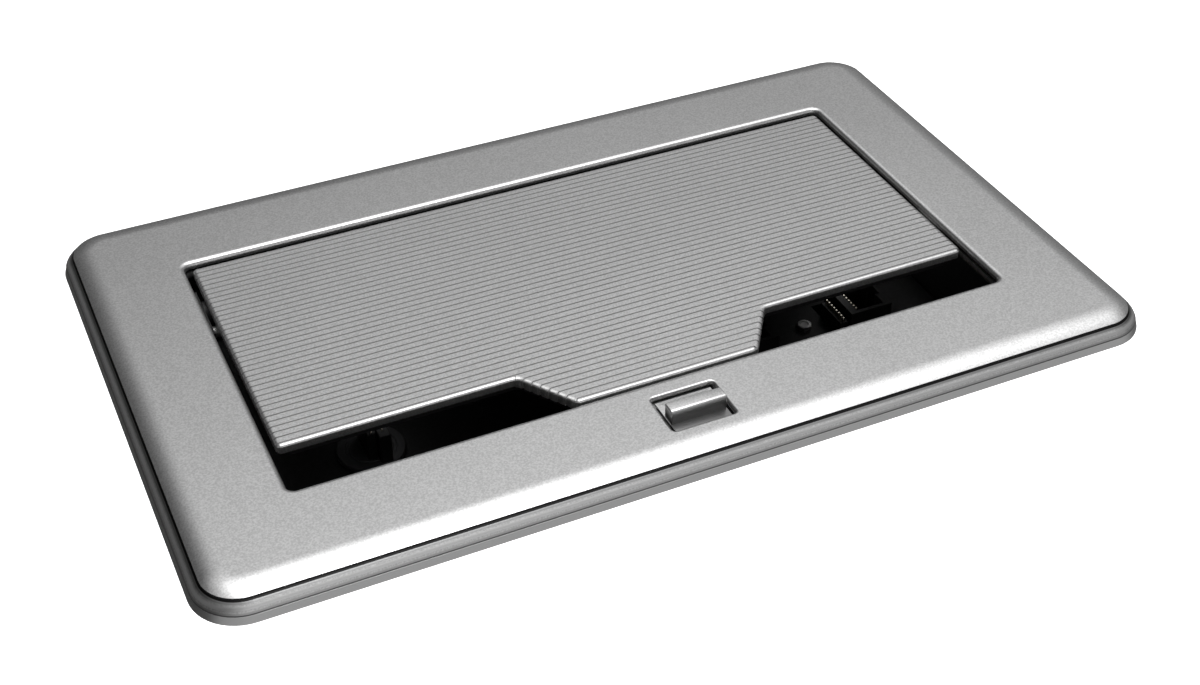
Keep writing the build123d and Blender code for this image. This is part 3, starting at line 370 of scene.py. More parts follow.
def satin_silver(name, base, grain_size, grain_depth, roughness, grooves=None, painted_light_and_shade=()):
    """Blasted and lacquered metal: fine grain, faint cloudiness, slightly brighter raised grains.

    Where grooves are given, as (first, pitch, width), their floors get painted shade and are
    duller: the distance to the nearest groove is a triangle wave of Y. Each entry of painted light
    and shade changes the metal by a factor between two places on an axis, in millimetres, and
    fades out over a softness.
    """
    finish = Finish(name)
    grain = finish.noise(1 / grain_size, roughness=0.6)
    cloud = finish.noise(18.0, detail=3.0)
    tone = finish.mix(grain.over(0.3, 0.7) * 0.85 + cloud * 0.15, rgba(base, 0.81), rgba(base, 1.14))
    dull = roughness + cloud * 0.04 + grain * 0.06
    if grooves:
        first, pitch, width = grooves
        apart = (finish.axis("Y") - first).folded(pitch / 2)
        inside = 1.0 - apart.over(width * 0.46, width * 0.60)
        # painted shade: the groove floors are drawn darker than the flat top
        tone = finish.mix(inside, tone, rgba(base, 0.72))
        dull = dull + inside * 0.2
    # painted light and shade: each entry scales the colour by a factor between two places on an axis
    for letter, low, high, soft, factor in painted_light_and_shade:
        along = finish.axis(letter)
        inside = along.over((low - soft) * MM, low * MM) - along.over(high * MM, (high + soft) * MM)
        tone = finish.mix(inside, tone, rgba(base, factor))
    finish.bump(grain, grain_depth)
    return finish.set(Base_Color=tone, Metallic=0.94, Roughness=dull)


def powder_coat(name, base):
    """Fine-textured powder coat with a dull shine."""
    finish = Finish(name)
    texture = finish.noise(1 / (0.7 * MM), detail=3.0, roughness=0.55)
    fine = finish.noise(1 / (0.22 * MM))
    tone = finish.mix(texture.over(0.4, 0.75), rgba(base, 0.8), rgba(base, 1.5))
    finish.bump(texture * 0.7 + fine * 0.3, 0.08 * MM)
    return finish.set(Base_Color=tone, Roughness=0.44 + texture * 0.2)


def moulded(name, base, roughness):
    """Moulded plastic with a faint spark-eroded texture."""
    finish = Finish(name)
    texture = finish.noise(1 / (0.35 * MM))
    flow = finish.noise(60.0)
    tone = finish.mix(flow, rgba(base, 0.85), rgba(base, 1.25))
    finish.bump(texture, 0.03 * MM)
    return finish.set(Base_Color=tone, Roughness=roughness + texture * 0.12)


def rubber(name, base):
    """Dull rubber with a little dust in its texture."""
    finish = Finish(name)
    texture = finish.noise(1 / (0.5 * MM), detail=3.0, roughness=0.6)
    dust = finish.noise(90.0, detail=4.0)
    tone = finish.mix(dust.over(0.5, 0.8), rgba(base), rgba(base, 1.8))
    finish.bump(texture, 0.05 * MM)
    return finish.set(Base_Color=tone, Roughness=0.7 + texture * 0.15, Specular_IOR_Level=0.15)


def zinc(name, base, roughness):
    """Bright plated steel with fine scratches and slight patches."""
    finish = Finish(name)
    patches = finish.noise(400.0, detail=3.0)
    scratches = finish.noise(900.0, place=finish.stretched((1.0, 14.0, 1.0)))
    tone = finish.mix(patches, rgba(base, 0.85), rgba(base, 1.1))
    finish.bump(scratches, 0.01 * MM)
    dull = roughness + patches * 0.12 + scratches * 0.08
    return finish.set(Base_Color=tone, Metallic=1.0, Roughness=dull)


def plated(name, base):
    """Gold plating, nearly even."""
    finish = Finish(name)
    patches = finish.noise(1500.0)
    tone = finish.mix(patches, rgba(base, 0.9), rgba(base, 1.08))
    finish.bump(patches, 0.004 * MM)
    return finish.set(Base_Color=tone, Metallic=1.0, Roughness=0.2 + patches * 0.12)


def solder_mask(name, base):
    """Circuit board: lacquer over the weave of the glass cloth, a product of two sines."""
    finish = Finish(name)
    turns = 2 * math.pi / (0.6 * MM)
    weave = (finish.axis("X") * turns).sine() * (finish.axis("Y") * turns).sine()
    tone = finish.mix(weave * 0.25 + 0.5, rgba(base, 0.8), rgba(base, 1.4))
    finish.bump(weave, 0.006 * MM)
    return finish.set(Base_Color=tone, Roughness=0.32 + finish.noise(200.0) * 0.1)


# Painted light and shade of the rim and the latch: axis, from, to, softness, factor
RIM_PAINTED_LIGHT_AND_SHADE = (
    ("Z", -0.5, 1.7, 0.2, 0.82),      # painted shade, lower band darker
    ("Z", 2.15, 2.4, 0.4, 0.62),      # painted shade on the lip over the crease
    ("Z", 1.8, 2.2, 0.06, 0.30),      # painted shade in the crease
    ("Z", 3.15, 3.5, 0.25, 1.3),      # painted light, middle of the upper band lighter
    ("Z", 4.05, 4.45, 0.4, 0.29),     # painted shade on the shoulder below the parting line
    ("Z", 4.22, 4.45, 0.06, 0.01),    # painted shadow, a near-black line on the rim behind the seal
)
LATCH_PAINTED_SHADE = (
    ("Z", 5.5, 8.1, 0.3, 0.55),       # painted shade on the sides of the finger bar
    ("Y", -70.0, -60.6, 0.2, 0.40),   # painted shade on the front of the finger bar and the plate before it
)


def make_finishes(colours, lid):
    """Every finish, under the record's slot name."""
    grooves = (lid.front + lid.groove_margin, lid.groove_pitch, lid.groove_width)
    silver, lid_silver = tuple(colours.silver), tuple(colours.lid_silver)
    satin_silver("satin_silver", silver, 0.48 * MM, 0.007 * MM, 0.25, painted_light_and_shade=RIM_PAINTED_LIGHT_AND_SHADE)
    # the lid's groove floors get painted shade
    satin_silver("lid_silver", lid_silver, 0.45 * MM, 0.004 * MM, 0.28, grooves)
    satin_silver("latch_silver", lid_silver, 0.4 * MM, 0.003 * MM, 0.26, painted_light_and_shade=LATCH_PAINTED_SHADE)
    moulded("black_plastic", tuple(colours.black_plastic), 0.42)
    moulded("grey_plastic", (0.07, 0.07, 0.074), 0.45)
    moulded("friction_fibre", (0.20, 0.14, 0.09), 0.7)
    powder_coat("black_steel", tuple(colours.black_coat))
    zinc("zinc_steel", (0.66, 0.66, 0.65), 0.24)
    zinc("bearing_bronze", (0.55, 0.36, 0.18), 0.38)
    zinc("nickel_magnet", (0.72, 0.70, 0.66), 0.14)
    rubber("black_rubber", (0.012, 0.012, 0.013))
    plated("gold_contacts", tuple(colours.gold))
    solder_mask("circuit_board", (0.016, 0.06, 0.03))


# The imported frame

def home_of(node):
    """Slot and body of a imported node, from the record."""
    record = frame["record"]
    slot = next(row["material_slot"] for row in record["subparts"] if row["node"] == node)
    body = next(name for name, nodes in record["behaviour"]["bodies"].items() if node in nodes)
    return slot, body


def node_box(node):
    """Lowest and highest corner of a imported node."""
    low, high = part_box(node)
    return np.array(low), np.array(high)


def solid_boxes(node):
    """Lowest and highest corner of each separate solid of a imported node.

    Equal corners of the loose triangles are merged to the micrometre. Then the lowest number of
    each triangle's corners is given to all three, again and again, until nothing changes and
    every solid has one number.
    """
    mesh = frame["nodes"][node].data
    points = np.empty(len(mesh.vertices) * 3, np.float32)
    mesh.vertices.foreach_get("co", points)
    corners, merged = np.unique(np.round(points.reshape(-1, 3).astype(float), 6), axis=0, return_inverse=True)
    indices = np.empty(len(mesh.loops), np.int32)
    mesh.loops.foreach_get("vertex_index", indices)
    triangles = merged.ravel()[indices].reshape(-1, 3)
    before, label = None, np.arange(len(corners))
    while before is None or (before != label).any():
        before = label.copy()
        np.minimum.at(label, triangles, before[triangles].min(axis=1)[:, None])
    solids = [corners[label == number] for number in np.unique(label)]
    return [(solid.min(axis=0), solid.max(axis=0)) for solid in solids]


# Surfaces: each part is (points, quads, single faces)

def grid_faces(rows, columns, closed):
    """Quads between neighbouring points of a grid of rows by columns; columns always close round."""
    row, column = np.meshgrid(np.arange(rows if closed else rows - 1), np.arange(columns), indexing="ij")
    after, beside = (row + 1) % rows, (column + 1) % columns
    corners = (row * columns + column, row * columns + beside,
               after * columns + beside, after * columns + column)
    return np.stack(corners, -1)


def loft(loops, closed=False):
    """Skin over equal loops, taken in order: a closed ring of them, or open ones whose first and
    last get a face."""
    points = np.stack(loops)
    rows, columns = points.shape[:2]
    caps = [] if closed else [np.arange(columns)[::-1], np.arange((rows - 1) * columns, rows * columns)]
    return points.reshape(-1, 3), grid_faces(rows, columns, closed).reshape(-1, 4), caps


def skin(loops):
    """Skin over equal loops without end faces."""
    points, quads, _ = loft(loops)
    return points, quads, []


def surface(name, parts, node, sharp=35.0):
    """One piece from several parts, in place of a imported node; sharper edges stay sharp."""
    points, faces, start = [], [], 0
    for part_points, quads, singles in parts:
        points.append(part_points)
        faces += (np.asarray(quads, int).reshape(-1, 4) + start).tolist()
        faces += [(np.asarray(single) + start).tolist() for single in singles]
        start += len(part_points)
    mesh = bpy.data.meshes.new(name)
    mesh.from_pydata(np.concatenate(points).tolist(), [], faces)
    mesh.update()
    mesh.polygons.foreach_set("use_smooth", np.ones(len(mesh.polygons), bool))
    mesh.set_sharp_from_angle(angle=math.radians(sharp))
    slot, body = home_of(node)
    mesh.materials.append(bpy.data.materials[slot])
    piece = bpy.data.objects.new(name, mesh)
    bpy.context.scene.collection.objects.link(piece)
    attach(piece, body)
    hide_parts(node)
    return piece


def corner_loop(low, high, radii, marks=(), steps=8):
    """Once round a rectangle with rounded corners, anticlockwise from its lower left corner.

    Each corner is a quarter circle about a centre one corner radius in; marks are extra places
    along the first and third sides.
    """
    radii = np.broadcast_to(np.asarray(radii, float), 4)
    turn = np.linspace(0, math.pi / 2, steps + 1)
    xs, ys = (low[0], high[0], high[0], low[0]), (low[1], low[1], high[1], high[1])
    signs_x, signs_y = (1, -1, -1, 1), (1, 1, -1, -1)
    extra = np.asarray(marks, float)
    stretches = []
    for corner, radius in enumerate(radii):
        x, y = xs[corner] + signs_x[corner] * radius, ys[corner] + signs_y[corner] * radius
        angle = turn + math.pi + corner * math.pi / 2
        stretches.append(np.stack([x + radius * np.cos(angle), y + radius * np.sin(angle)], -1))
        if corner in (0, 2) and len(extra):
            along = extra if corner == 0 else extra[::-1]
            stretches.append(np.stack([along, np.full_like(along, ys[corner])], -1))
    return np.concatenate(stretches)


def at_height(loop, z):
    """A plan loop lifted to a height."""
    return np.column_stack([loop, np.full(len(loop), z)])


def quarter(width, height, steps):
    """Quarter circle from (width, 0) to (0, height), drawn as its two distances from the corner
    that it rounds: width(1 - cos a) and height(1 - sin a)."""
    angle = np.linspace(0, math.pi / 2, steps)
    return width * (1 - np.cos(angle)), height * (1 - np.sin(angle))


def round_block(low, high, edge, corner=None, steps=4):
    """Block with rounded upright corners and a quarter circle round its top edge, flat below."""
    corner = edge if corner is None else corner
    loops = [at_height(corner_loop(low, high, corner, steps=steps), low[2])]
    for inward, below in zip(*quarter(edge, edge, steps + 1)):
        inner_low, inner_high = np.add(low[:2], inward), np.subtract(high[:2], inward)
        loop = corner_loop(inner_low, inner_high, max(corner - inward, 0.2 * edge), steps=steps)
        loops.append(at_height(loop, high[2] - below))
    return loft(loops)


def capped_bar(section, edge, half, steps=6):
    """Bar along X from -half to half: its side view at an inset, which a quarter circle draws in
    at both ends."""
    below, inward = quarter(edge, edge, steps)
    insets = np.concatenate([inward, inward[::-1]])
    xs = np.concatenate([below - half, half - below[::-1]])
    sections = [section(inset) for inset in insets]
    return loft([np.column_stack([np.full(len(loop), x), loop]) for loop, x in zip(sections, xs)])


def lathe(profile, steps=48, closed=False):
    """Skin turned about Z from (radius, height) pairs, upwards, or from a closed section of them."""
    angle = np.linspace(0, 2 * math.pi, steps, endpoint=False)
    circle = np.stack([np.cos(angle), np.sin(angle)], -1)
    return loft([at_height(circle * radius, z) for radius, z in profile], closed)


TURNS = {
    "+Z": ((1, 0, 0), (0, 1, 0), (0, 0, 1)),
    "-Z": ((1, 0, 0), (0, -1, 0), (0, 0, -1)),
    "+X": ((0, 0, 1), (0, 1, 0), (-1, 0, 0)),
    "-X": ((0, 0, -1), (0, 1, 0), (1, 0, 0)),
    "+Y": ((1, 0, 0), (0, 0, 1), (0, -1, 0)),
    "-Y": ((1, 0, 0), (0, 0, -1), (0, 1, 0)),
}


def put(part, place, towards="+Z"):
    """The part turned so that its Z looks along a direction, at a place."""
    points, quads, singles = part
    return points @ np.array(TURNS[towards], float).T + np.asarray(place), quads, singles


def hexagon_head(radius, height):
    """Hexagon screw head: flat sides, a chamfered crown and a shallow dish on top.

    The crown's edge is just inside the circle in the hexagon; the hexagon's corners drop from it
    by thirty degrees.
    """
    crown = 0.93
    rings = ((crown, 0.0), (0.62, 0.0), (0.5, 0.12), (0.1, 0.14))
    sixth = math.pi / 3
    angle = (np.arange(6)[:, None] * sixth + np.linspace(0, sixth, 4, endpoint=False)).ravel()
    apothem = radius * math.cos(sixth / 2)
    reach = apothem / np.cos((angle % sixth) - sixth / 2)
    circle = np.stack([np.cos(angle), np.sin(angle)], -1)
    drop = (reach - apothem * crown) * math.tan(math.radians(30))
    side = circle * reach[:, None]
    loops = [at_height(side, 0.0), np.column_stack([side, height - drop])]
    loops += [at_height(circle * apothem * share, height * (1 - down)) for share, down in rings]
    return loft(loops)


def holed_patch(low, high, hole, z, down=False):
    """Flat face between a rectangle and a loop inside it, as a left and a right half.

    The loop starts in its lower left corner and has a mark in the middle of its first and third
    sides.
    """
    middle = np.argsort(np.abs(hole[:, 0]))[:2]
    front, back = middle[np.argsort(hole[middle, 1])]
    order = np.arange(len(hole))
    right = order[front:back + 1][::-1]
    left = np.concatenate([order[back:], order[:front + 1]])[::-1]
    rectangle = np.array([(0, low[1]), (high[0], low[1]), high[:2], (0, high[1]),
                          (low[0], high[1]), low[:2]])
    start = len(hole)
    faces = [np.concatenate([np.array([0, 1, 2, 3]) + start, right]),
             np.concatenate([np.array([3, 4, 5, 0]) + start, left])]
    if down:
        faces = [face[::-1] for face in faces]
    return at_height(np.concatenate([hole, rectangle]), z), np.zeros((0, 4), int), faces


# Bezel and seal

def frame_loop(half_x, half_y, corner, shift, zone):
    """A loop of the bezel, with marks on the long sides up to the ends of the window's zone."""
    side = np.linspace(half_x - corner, zone, 6)[1:]
    marks = np.concatenate([-side, side[::-1]])
    return corner_loop((-half_x, shift - half_y), (half_x, shift + half_y), corner, marks, 14)


def make_bezel(sizes, latch):
    """Bezel: a closed section carried round the frame, with the latch window let into the front.

    Outer edge: an arc that leaves the flat top level and reaches the parting line after the
    rounding's width; with drop d and width w its radius is (w w + d d) / 2 d. Inner edge: a quarter
    circle into the opening.
    """
    strip = 0.3 * MM
    zone = latch.window_length / 2 + latch.guide_reach + latch.pocket_margin
    half_x = sizes.rim_length / 2 - sizes.bezel_setback
    half_y = sizes.rim_width / 2 - sizes.bezel_setback
    top, low = sizes.bezel_top, sizes.rim_height
    lip = low + sizes.parting_gap + sizes.bezel_edge
    width, drop = sizes.bezel_round, top - lip
    radius = (width**2 + drop**2) / (2 * drop)
    turn = np.linspace(math.asin(width / radius), 0, 15)
    section = [(sizes.rebate, low), (sizes.rebate, lip), (sizes.bezel_tuck, lip)]
    section += list(zip(width - radius * np.sin(turn), top - radius * (1 - np.cos(turn))))
    section.append((width + strip, top))
    outer = [at_height(frame_loop(half_x - inset, half_y - inset, sizes.bezel_corner - inset, 0.0, zone), z)
             for inset, z in section]
    edge = sizes.opening_round
    below, out = quarter(edge, edge, 9)
    wall = [(edge + strip, top)] + list(zip(out, top - below))
    wall += [(0.0, sizes.skirt_bottom), (sizes.skirt_wall, sizes.skirt_bottom), (sizes.skirt_wall, low)]
    open_x, open_y = sizes.opening_length / 2, sizes.opening_width / 2
    inner = [at_height(frame_loop(open_x + out, open_y + out, sizes.opening_corner + out,
                                  sizes.opening_shift, zone), z) for out, z in wall]
    points = np.concatenate(outer + inner)
    quads = grid_faces(len(outer) + len(inner), len(outer[0]), True)
    keep = np.ones(quads.shape[:2], bool)
    window_column = np.argmax(np.isclose(outer[0][:, 0], -zone) & (outer[0][:, 1] < 0))
    keep[[len(outer) - 1, -1], window_column] = False
    return [(points, quads[keep], [])] + window_parts(sizes, latch, zone, outer, inner) \
        + shelf_parts(sizes, latch)


def window_parts(sizes, latch, zone, outer, inner):
    """Latch window: rounded edge, short wall, and the pocket for the sliding plate below it."""
    middle = (latch.window_front + latch.window_back) / 2
    half_x, half_y = latch.window_length / 2, (latch.window_back - latch.window_front) / 2
    top, roof, edge, low = sizes.bezel_top, latch.roof, latch.window_edge, sizes.rim_height

    def hole(out):
        """The window's outline, so far outside its wall."""
        reach_x, reach_y = half_x + out, half_y + out
        return corner_loop((-reach_x, middle - reach_y), (reach_x, middle + reach_y),
                           latch.window_corner + out, (0.0,))

    def strip(front, back):
        """Corners of the rectangle between the bezel's front edge and its opening."""
        return (-zone, front[:, 1].min()), (zone, back[np.abs(back[:, 0]) < zone * 1.01, 1].min())

    below, out = quarter(edge, edge, 6)
    rounding = [at_height(hole(wide), z) for wide, z in zip(out, top - below)]
    reach = half_x + latch.guide_reach
    pocket = corner_loop((-reach, latch.guide_front), (reach, latch.guide_back), SOFT, (0.0,), 2)
    return [holed_patch(*strip(outer[-1], inner[0]), hole(edge), top),
            skin(rounding + [at_height(hole(0.0), roof)]),
            holed_patch((-reach, latch.guide_front), (reach, latch.guide_back), hole(0.0), roof, down=True),
            skin([at_height(pocket, roof), at_height(pocket, low)]),
            holed_patch(*strip(outer[0], inner[-1]), pocket, low, down=True)]


def shelf_parts(sizes, latch):
    """Shelf under the lid's tongue, hanging from the front of the bezel's skirt."""
    wall, half = sizes.opening_shift - sizes.opening_width / 2, latch.shelf_length / 2
    corner = (-half, wall - sizes.skirt_wall, latch.shelf_bottom)
    return [round_block(corner, (half, wall + latch.shelf_depth, latch.shelf_top), latch.shelf_edge),
            round_block(corner, (half, wall, sizes.skirt_bottom), SOFT)]


def make_seal(sizes):
    """Dark seal between the frames, filling the gap up to just behind the bezel's edge."""
    half_x = sizes.rim_length / 2 - sizes.bezel_setback
    half_y = sizes.rim_width / 2 - sizes.bezel_setback
    front, back, bevel = sizes.seal_front, sizes.seal_back, 0.1 * MM
    low, top = sizes.rim_height, sizes.rim_height + sizes.parting_gap + sizes.bezel_edge
    section = [(front, low), (front, top - bevel), (front + bevel, top), (back, top), (back, low)]
    loops = [at_height(corner_loop((inset - half_x, inset - half_y), (half_x - inset, half_y - inset),
                                   sizes.bezel_corner - inset, steps=14), z) for inset, z in section]
    return [loft(loops, closed=True)]


# Lid

def lid_chain(lid, inset, ys):
    """Right half of the lid's outline at an inset, from the middle of the front to the middle of
    the back, with a point at every given Y, and the outward direction at each point.

    The straight runs are joined by arcs; an inset makes the outer arcs smaller and the hollow
    ones larger by the same amount.
    """
    lean = math.atan((lid.tongue_root - lid.tongue_tip) / 2 / (lid.notch_front - lid.front))
    normal = np.array((math.cos(lean), -math.sin(lean)))
    along = np.array((math.sin(lean), math.cos(lean)))
    reach = lid.tongue_corner * math.tan((math.pi / 2 - lean) / 2)
    tip_end = np.array((lid.tongue_tip / 2, lid.front)) + along * reach
    root_start = np.array((lid.tongue_root / 2, lid.notch_front)) - along * reach
    tip, root = tip_end - normal * lid.tongue_corner, root_start + normal * lid.tongue_corner
    inner_x = lid.half - lid.corner
    points, ways = [], []

    def run(start, end, way):
        """Straight run; where it leads across the grooves it has their places only."""
        start, end = np.array(start) - np.multiply(way, inset), np.array(end) - np.multiply(way, inset)
        share = np.linspace(0, 1, 10)
        if abs(way[1]) < 0.9:
            marks = (ys[(ys > start[1]) & (ys < end[1])] - start[1]) / (end[1] - start[1])
            share = np.concatenate([[0.0], marks, [1.0]])
        points.append(start + share[:, None] * (end - start))
        ways.append(np.broadcast_to(way, points[-1].shape))

    def arc(centre, radius, first, last, hollow=False):
        """Arc between two angles, with even steps and the grooves' places."""
        size = radius + inset if hollow else radius - inset
        sine = (ys - centre[1]) / size
        marks = np.arcsin(sine[np.abs(sine) < 1])
        marks = math.pi - marks if hollow else marks
        marks = marks[(marks > min(first, last)) & (marks < max(first, last))]
        angle = np.sort(np.concatenate([np.linspace(first, last, 10)[1:-1], marks]))
        angle = angle[::-1] if last < first else angle
        way = np.stack([np.cos(angle), np.sin(angle)], -1)
        points.append(centre + size * way)
        ways.append(-way if hollow else way)

    run((0.0, lid.front), (tip[0], lid.front), (0.0, -1.0))
    arc(tip, lid.tongue_corner, -math.pi / 2, -lean)
    run(tip_end, root_start, normal)
    arc(root, lid.tongue_corner, math.pi - lean, math.pi / 2, hollow=True)
    run((root[0], lid.notch_front), (inner_x, lid.notch_front), (0.0, -1.0))
    arc((inner_x, lid.notch_front + lid.corner), lid.corner, -math.pi / 2, 0.0)
    run((lid.half, lid.notch_front + lid.corner), (lid.half, lid.back - lid.corner), (1.0, 0.0))
    arc((inner_x, lid.back - lid.corner), lid.corner, 0.0, math.pi / 2)
    run((inner_x, lid.back), (0.0, lid.back), (0.0, 1.0))
    return np.concatenate(points), np.concatenate(ways)


def groove_middles(lid):
    """Places of the grooves' middles along Y."""
    first = lid.front + lid.groove_margin
    count = math.floor((lid.back - lid.groove_margin - first) / lid.groove_pitch) + 1
    return first + lid.groove_pitch * np.arange(count)


def make_lid(lid):
    """Lid: loops that follow its outline from the underside over the rounded edge, then level
    strips between the left and right sides.

    Every point lies lower and further in by the depth of the groove at its Y, so the grooves
    cross the top and run on down the end faces. That depth is full over a groove's floor and
    falls evenly to nothing over its sides.
    """
    middles, reach, side = groove_middles(lid), lid.groove_width / 2, lid.groove_side
    ys = np.sort((middles[:, None] + np.array((-reach, side - reach, reach - side, reach))).ravel())
    level = lid.edge_reach * 1.1
    right, way = lid_chain(lid, level, ys)
    apart = np.abs(right[:, 1, None] - middles).min(axis=1)
    depth = lid.groove_depth * np.clip((reach - apart) / side, 0.0, 1.0)
    inward, below = quarter(lid.edge_reach, lid.edge_drop, 8)
    insets = np.concatenate([[0.0], inward, [level]])
    drops = np.concatenate([[lid.top - lid.bottom], below, [0.0]])
    shares = np.clip((level - insets) / lid.edge_drop, 0.0, 1.0)
    loops = []
    for inset, below, share in zip(insets, drops, shares):
        plan = right + way * (level - inset - depth * share)[:, None]
        half = np.column_stack([plan, np.maximum(lid.top - below - depth, lid.bottom)])
        left = half[-2:0:-1] * (-1, 1, 1)
        loops.append(np.concatenate([half, left]))
    points, quads, caps = loft(loops)
    columns, last = len(loops[0]), (len(loops) - 1) * len(loops[0])
    chain = np.arange(len(right))
    mirror = (columns - chain) % columns
    climbs = chain[:-1][np.diff(loops[-1][:len(right), 1]) > 1e-7]
    strips = np.stack([mirror[climbs], climbs, climbs + 1, mirror[climbs + 1]], -1) + last
    return [(points, np.concatenate([quads, strips]), caps[:1])]


# Latch

def make_slider(latch):
    """Sliding plate, finger bar, nose and spring tab."""
    low = np.array((latch.bar_front, latch.slider_top - latch.bar_foot))
    high = np.array((latch.bar_front + latch.bar_thickness, latch.bar_top))
    radii = np.array((latch.bar_foot, latch.bar_edge, latch.bar_edge, latch.bar_round))

    def side_view(inset):
        """Outline of the bar seen from its end, with its foot kept level."""
        return corner_loop(low + (inset, 0), high - (inset, inset), np.maximum(radii - inset, HAIR), steps=6)

    plate, half = latch.window_length / 2 - latch.slider_gap, latch.tab_width / 2
    front, back, under = latch.window_front - 2 * latch.slider_gap, latch.guide_back, latch.slider_bottom
    return [
        capped_bar(side_view, latch.bar_edge, latch.bar_length / 2),
        round_block((latch.side_step - plate, front, under),
                    (plate - latch.side_step, latch.window_back - latch.plate_step, latch.slider_top),
                    latch.plate_edge),
        round_block((-plate, latch.window_back - 2 * latch.plate_step, under),
                    (plate, back, under + latch.blade_thickness), SOFT),
        round_block((-latch.nose_width / 2, back - latch.nose_length, under - latch.nose_drop),
                    (latch.nose_width / 2, back - HAIR, under + SOFT), SOFT),
        round_block((-half, latch.tab_front, latch.guide_bottom + latch.tab_gap),
                    (half, latch.tab_front + latch.tab_thickness, under + SOFT), SOFT),
    ]


def make_spring(latch):
    """Return spring: round wire along a sine wave that lies flat in the guide, from its front wall
    to the slider's tab."""
    share = np.linspace(0, 1, latch.spring_turns * 24 + 1)
    front, back = latch.guide_front + latch.tab_thickness, latch.tab_front - HAIR
    radius = latch.spring_wire / 2
    wave = (latch.spring_width / 2 - radius) * np.sin(2 * math.pi * latch.spring_turns * share)
    path = np.column_stack([wave, front + (back - front) * share])
    z = latch.guide_bottom + latch.tab_gap + radius
    angle = np.linspace(0, 2 * math.pi, 10, endpoint=False)
    loops = [np.column_stack([point + np.outer(np.cos(angle), across) * radius, z + np.sin(angle) * radius])
             for point, across in zip(path, sideways(path))]
    return [loft(loops)]


def sideways(path):
    """Unit directions square to a flat path, to its left."""
    way = np.gradient(path, axis=0)
    way /= np.linalg.norm(way, axis=1)[:, None]
    return np.stack([-way[:, 1], way[:, 0]], -1)


# Connectors

def bend(first, middle, last, steps=8):
    """Curve between two points that leaves and arrives towards the middle one."""
    share = np.linspace(0, 1, steps)[:, None]
    first, middle, last = (np.array(point, float) for point in (first, middle, last))
    return first * (1 - share)**2 + middle * 2 * share * (1 - share) + last * share**2


def make_contacts(sizes, side):
    """Row of spring contacts: up the port's side, over in a bend and down into the port.

    Each is a flat strip along a path drawn as (X, Z) from the port's upper edge.
    """
    half, over, tip = sizes.contact_thickness / 2, sizes.contact_over, sizes.contact_tip
    crest, shoulder = -0.5 * MM, -1.3 * MM
    rise = np.array([(half, -sizes.contact_depth), (half, -sizes.contact_depth / 2), (half, -1.4 * MM)])
    across = bend((half, shoulder), (half, crest), (over, crest))
    down = bend((over, crest), (1.4 * MM, crest), (tip, -3.0 * MM))[1:]
    path = np.concatenate([rise, across, down])
    offset = sideways(path) * half
    jack_top = node_box(f"modular_jack_{side}")[1][2]
    parts = []
    for low, high in solid_boxes(f"jack_contacts_{side}"):
        lower, upper = path - offset + (low[0], jack_top), path + offset + (low[0], jack_top)
        start, end = low[1], high[1]
        parts.append(loft([np.array([(one[0], start, one[1]), (one[0], end, one[1]),
                                     (two[0], end, two[1]), (two[0], start, two[1])])
                           for one, two in zip(lower, upper)]))
    return parts


def make_header_pins(sizes):
    """Square pins of both headers, with softened tips."""
    return [round_block(low, high, sizes.pin_tip, sizes.pin_corner)
            for low, high in solid_boxes("header_pins")]


def make_coupler_base(sizes):
    """Round base with a rounded flange and a ring groove."""
    low, high = node_box("coupler_base")
    flange, body, thick = sizes.coupler_radius, sizes.coupler_body, sizes.coupler_flange
    edge, groove, chamfer = sizes.coupler_edge, sizes.coupler_groove, 0.5 * MM
    plate_top = high[2] - thick
    depth = plate_top - low[2]
    below, inward = quarter(edge, edge, 6)
    profile = [(body - chamfer, -depth), (body, chamfer - depth), (body, 0.0), (flange, 0.0)]
    profile += list(zip(flange - below, thick - inward))
    profile += [(body - 0.6 * MM, thick), (body - 0.8 * MM, thick - groove),
                (body - 1.6 * MM, thick - groove), (body - 1.8 * MM, thick)]
    return [put(lathe(profile, 64), (high[0] - flange, (low[1] + high[1]) / 2, plate_top))]


def make_domes(sizes):
    """Domed contacts on both blocks: the height falls off as a quarter circle from the middle."""
    turn = np.linspace(0, 0.46 * math.pi, 7)
    parts = []
    for low, high in solid_boxes("coupler_pins"):
        half, rise = (high[0] - low[0]) / 2, high[2] - low[2]
        heights = sizes.dome_foot + (rise - sizes.dome_foot) * np.sin(turn)
        dome = lathe([(half, 0.0), *zip(half * np.cos(turn), heights)], 20)
        parts.append(put(dome, ((low[0] + high[0]) / 2, (low[1] + high[1]) / 2, low[2])))
    return parts


# Screws

# Groups of hexagon heads: the axis that they look along, and which way
HEADS = {
    "bezel_screws": ("Z", "down"),
    "latch_guide_screws": ("Z", "down"),
    "lid_screws": ("Z", "down"),
    "bracket_screws": ("X", "out"),
    "skirt_screws": ("Y", "out"),
    "enclosure_screws": ("Y", "out"),
    "height_screws": ("X", "out"),
    "height_nuts": ("X", "in"),
    "board_screws": ("Z", "up"),
    "blank_screws": ("Z", "up"),
    "clamp_bracket_screws": ("X", "out"),
}


def make_heads(sizes, node):
    """Hexagon heads where a group's solids are, as wide and as high as they are; what is left of a
    height screw's solid is its shank."""
    letter, way = HEADS[node]
    axis = "XYZ".index(letter)
    parts = []
    for low, high in solid_boxes(node):
        place, size = (low + high) / 2, high - low
        positive = {"up": True, "down": False, "out": place[axis] > 0, "in": place[axis] < 0}[way]
        towards, radius = ("+" if positive else "-") + letter, np.delete(size, axis).max() / 2
        tall = sizes.bolt_head if node == "height_screws" else size[axis]
        place[axis] = high[axis] - tall if positive else low[axis] + tall
        parts.append(put(hexagon_head(radius, tall), place, towards))
        if node == "height_screws":
            shank = lathe([(sizes.bolt_radius, tall - size[axis]), (sizes.bolt_radius, 0.0)], 32)
            parts.append(put(shank, place, towards))
    return parts


# Clamps and grommets

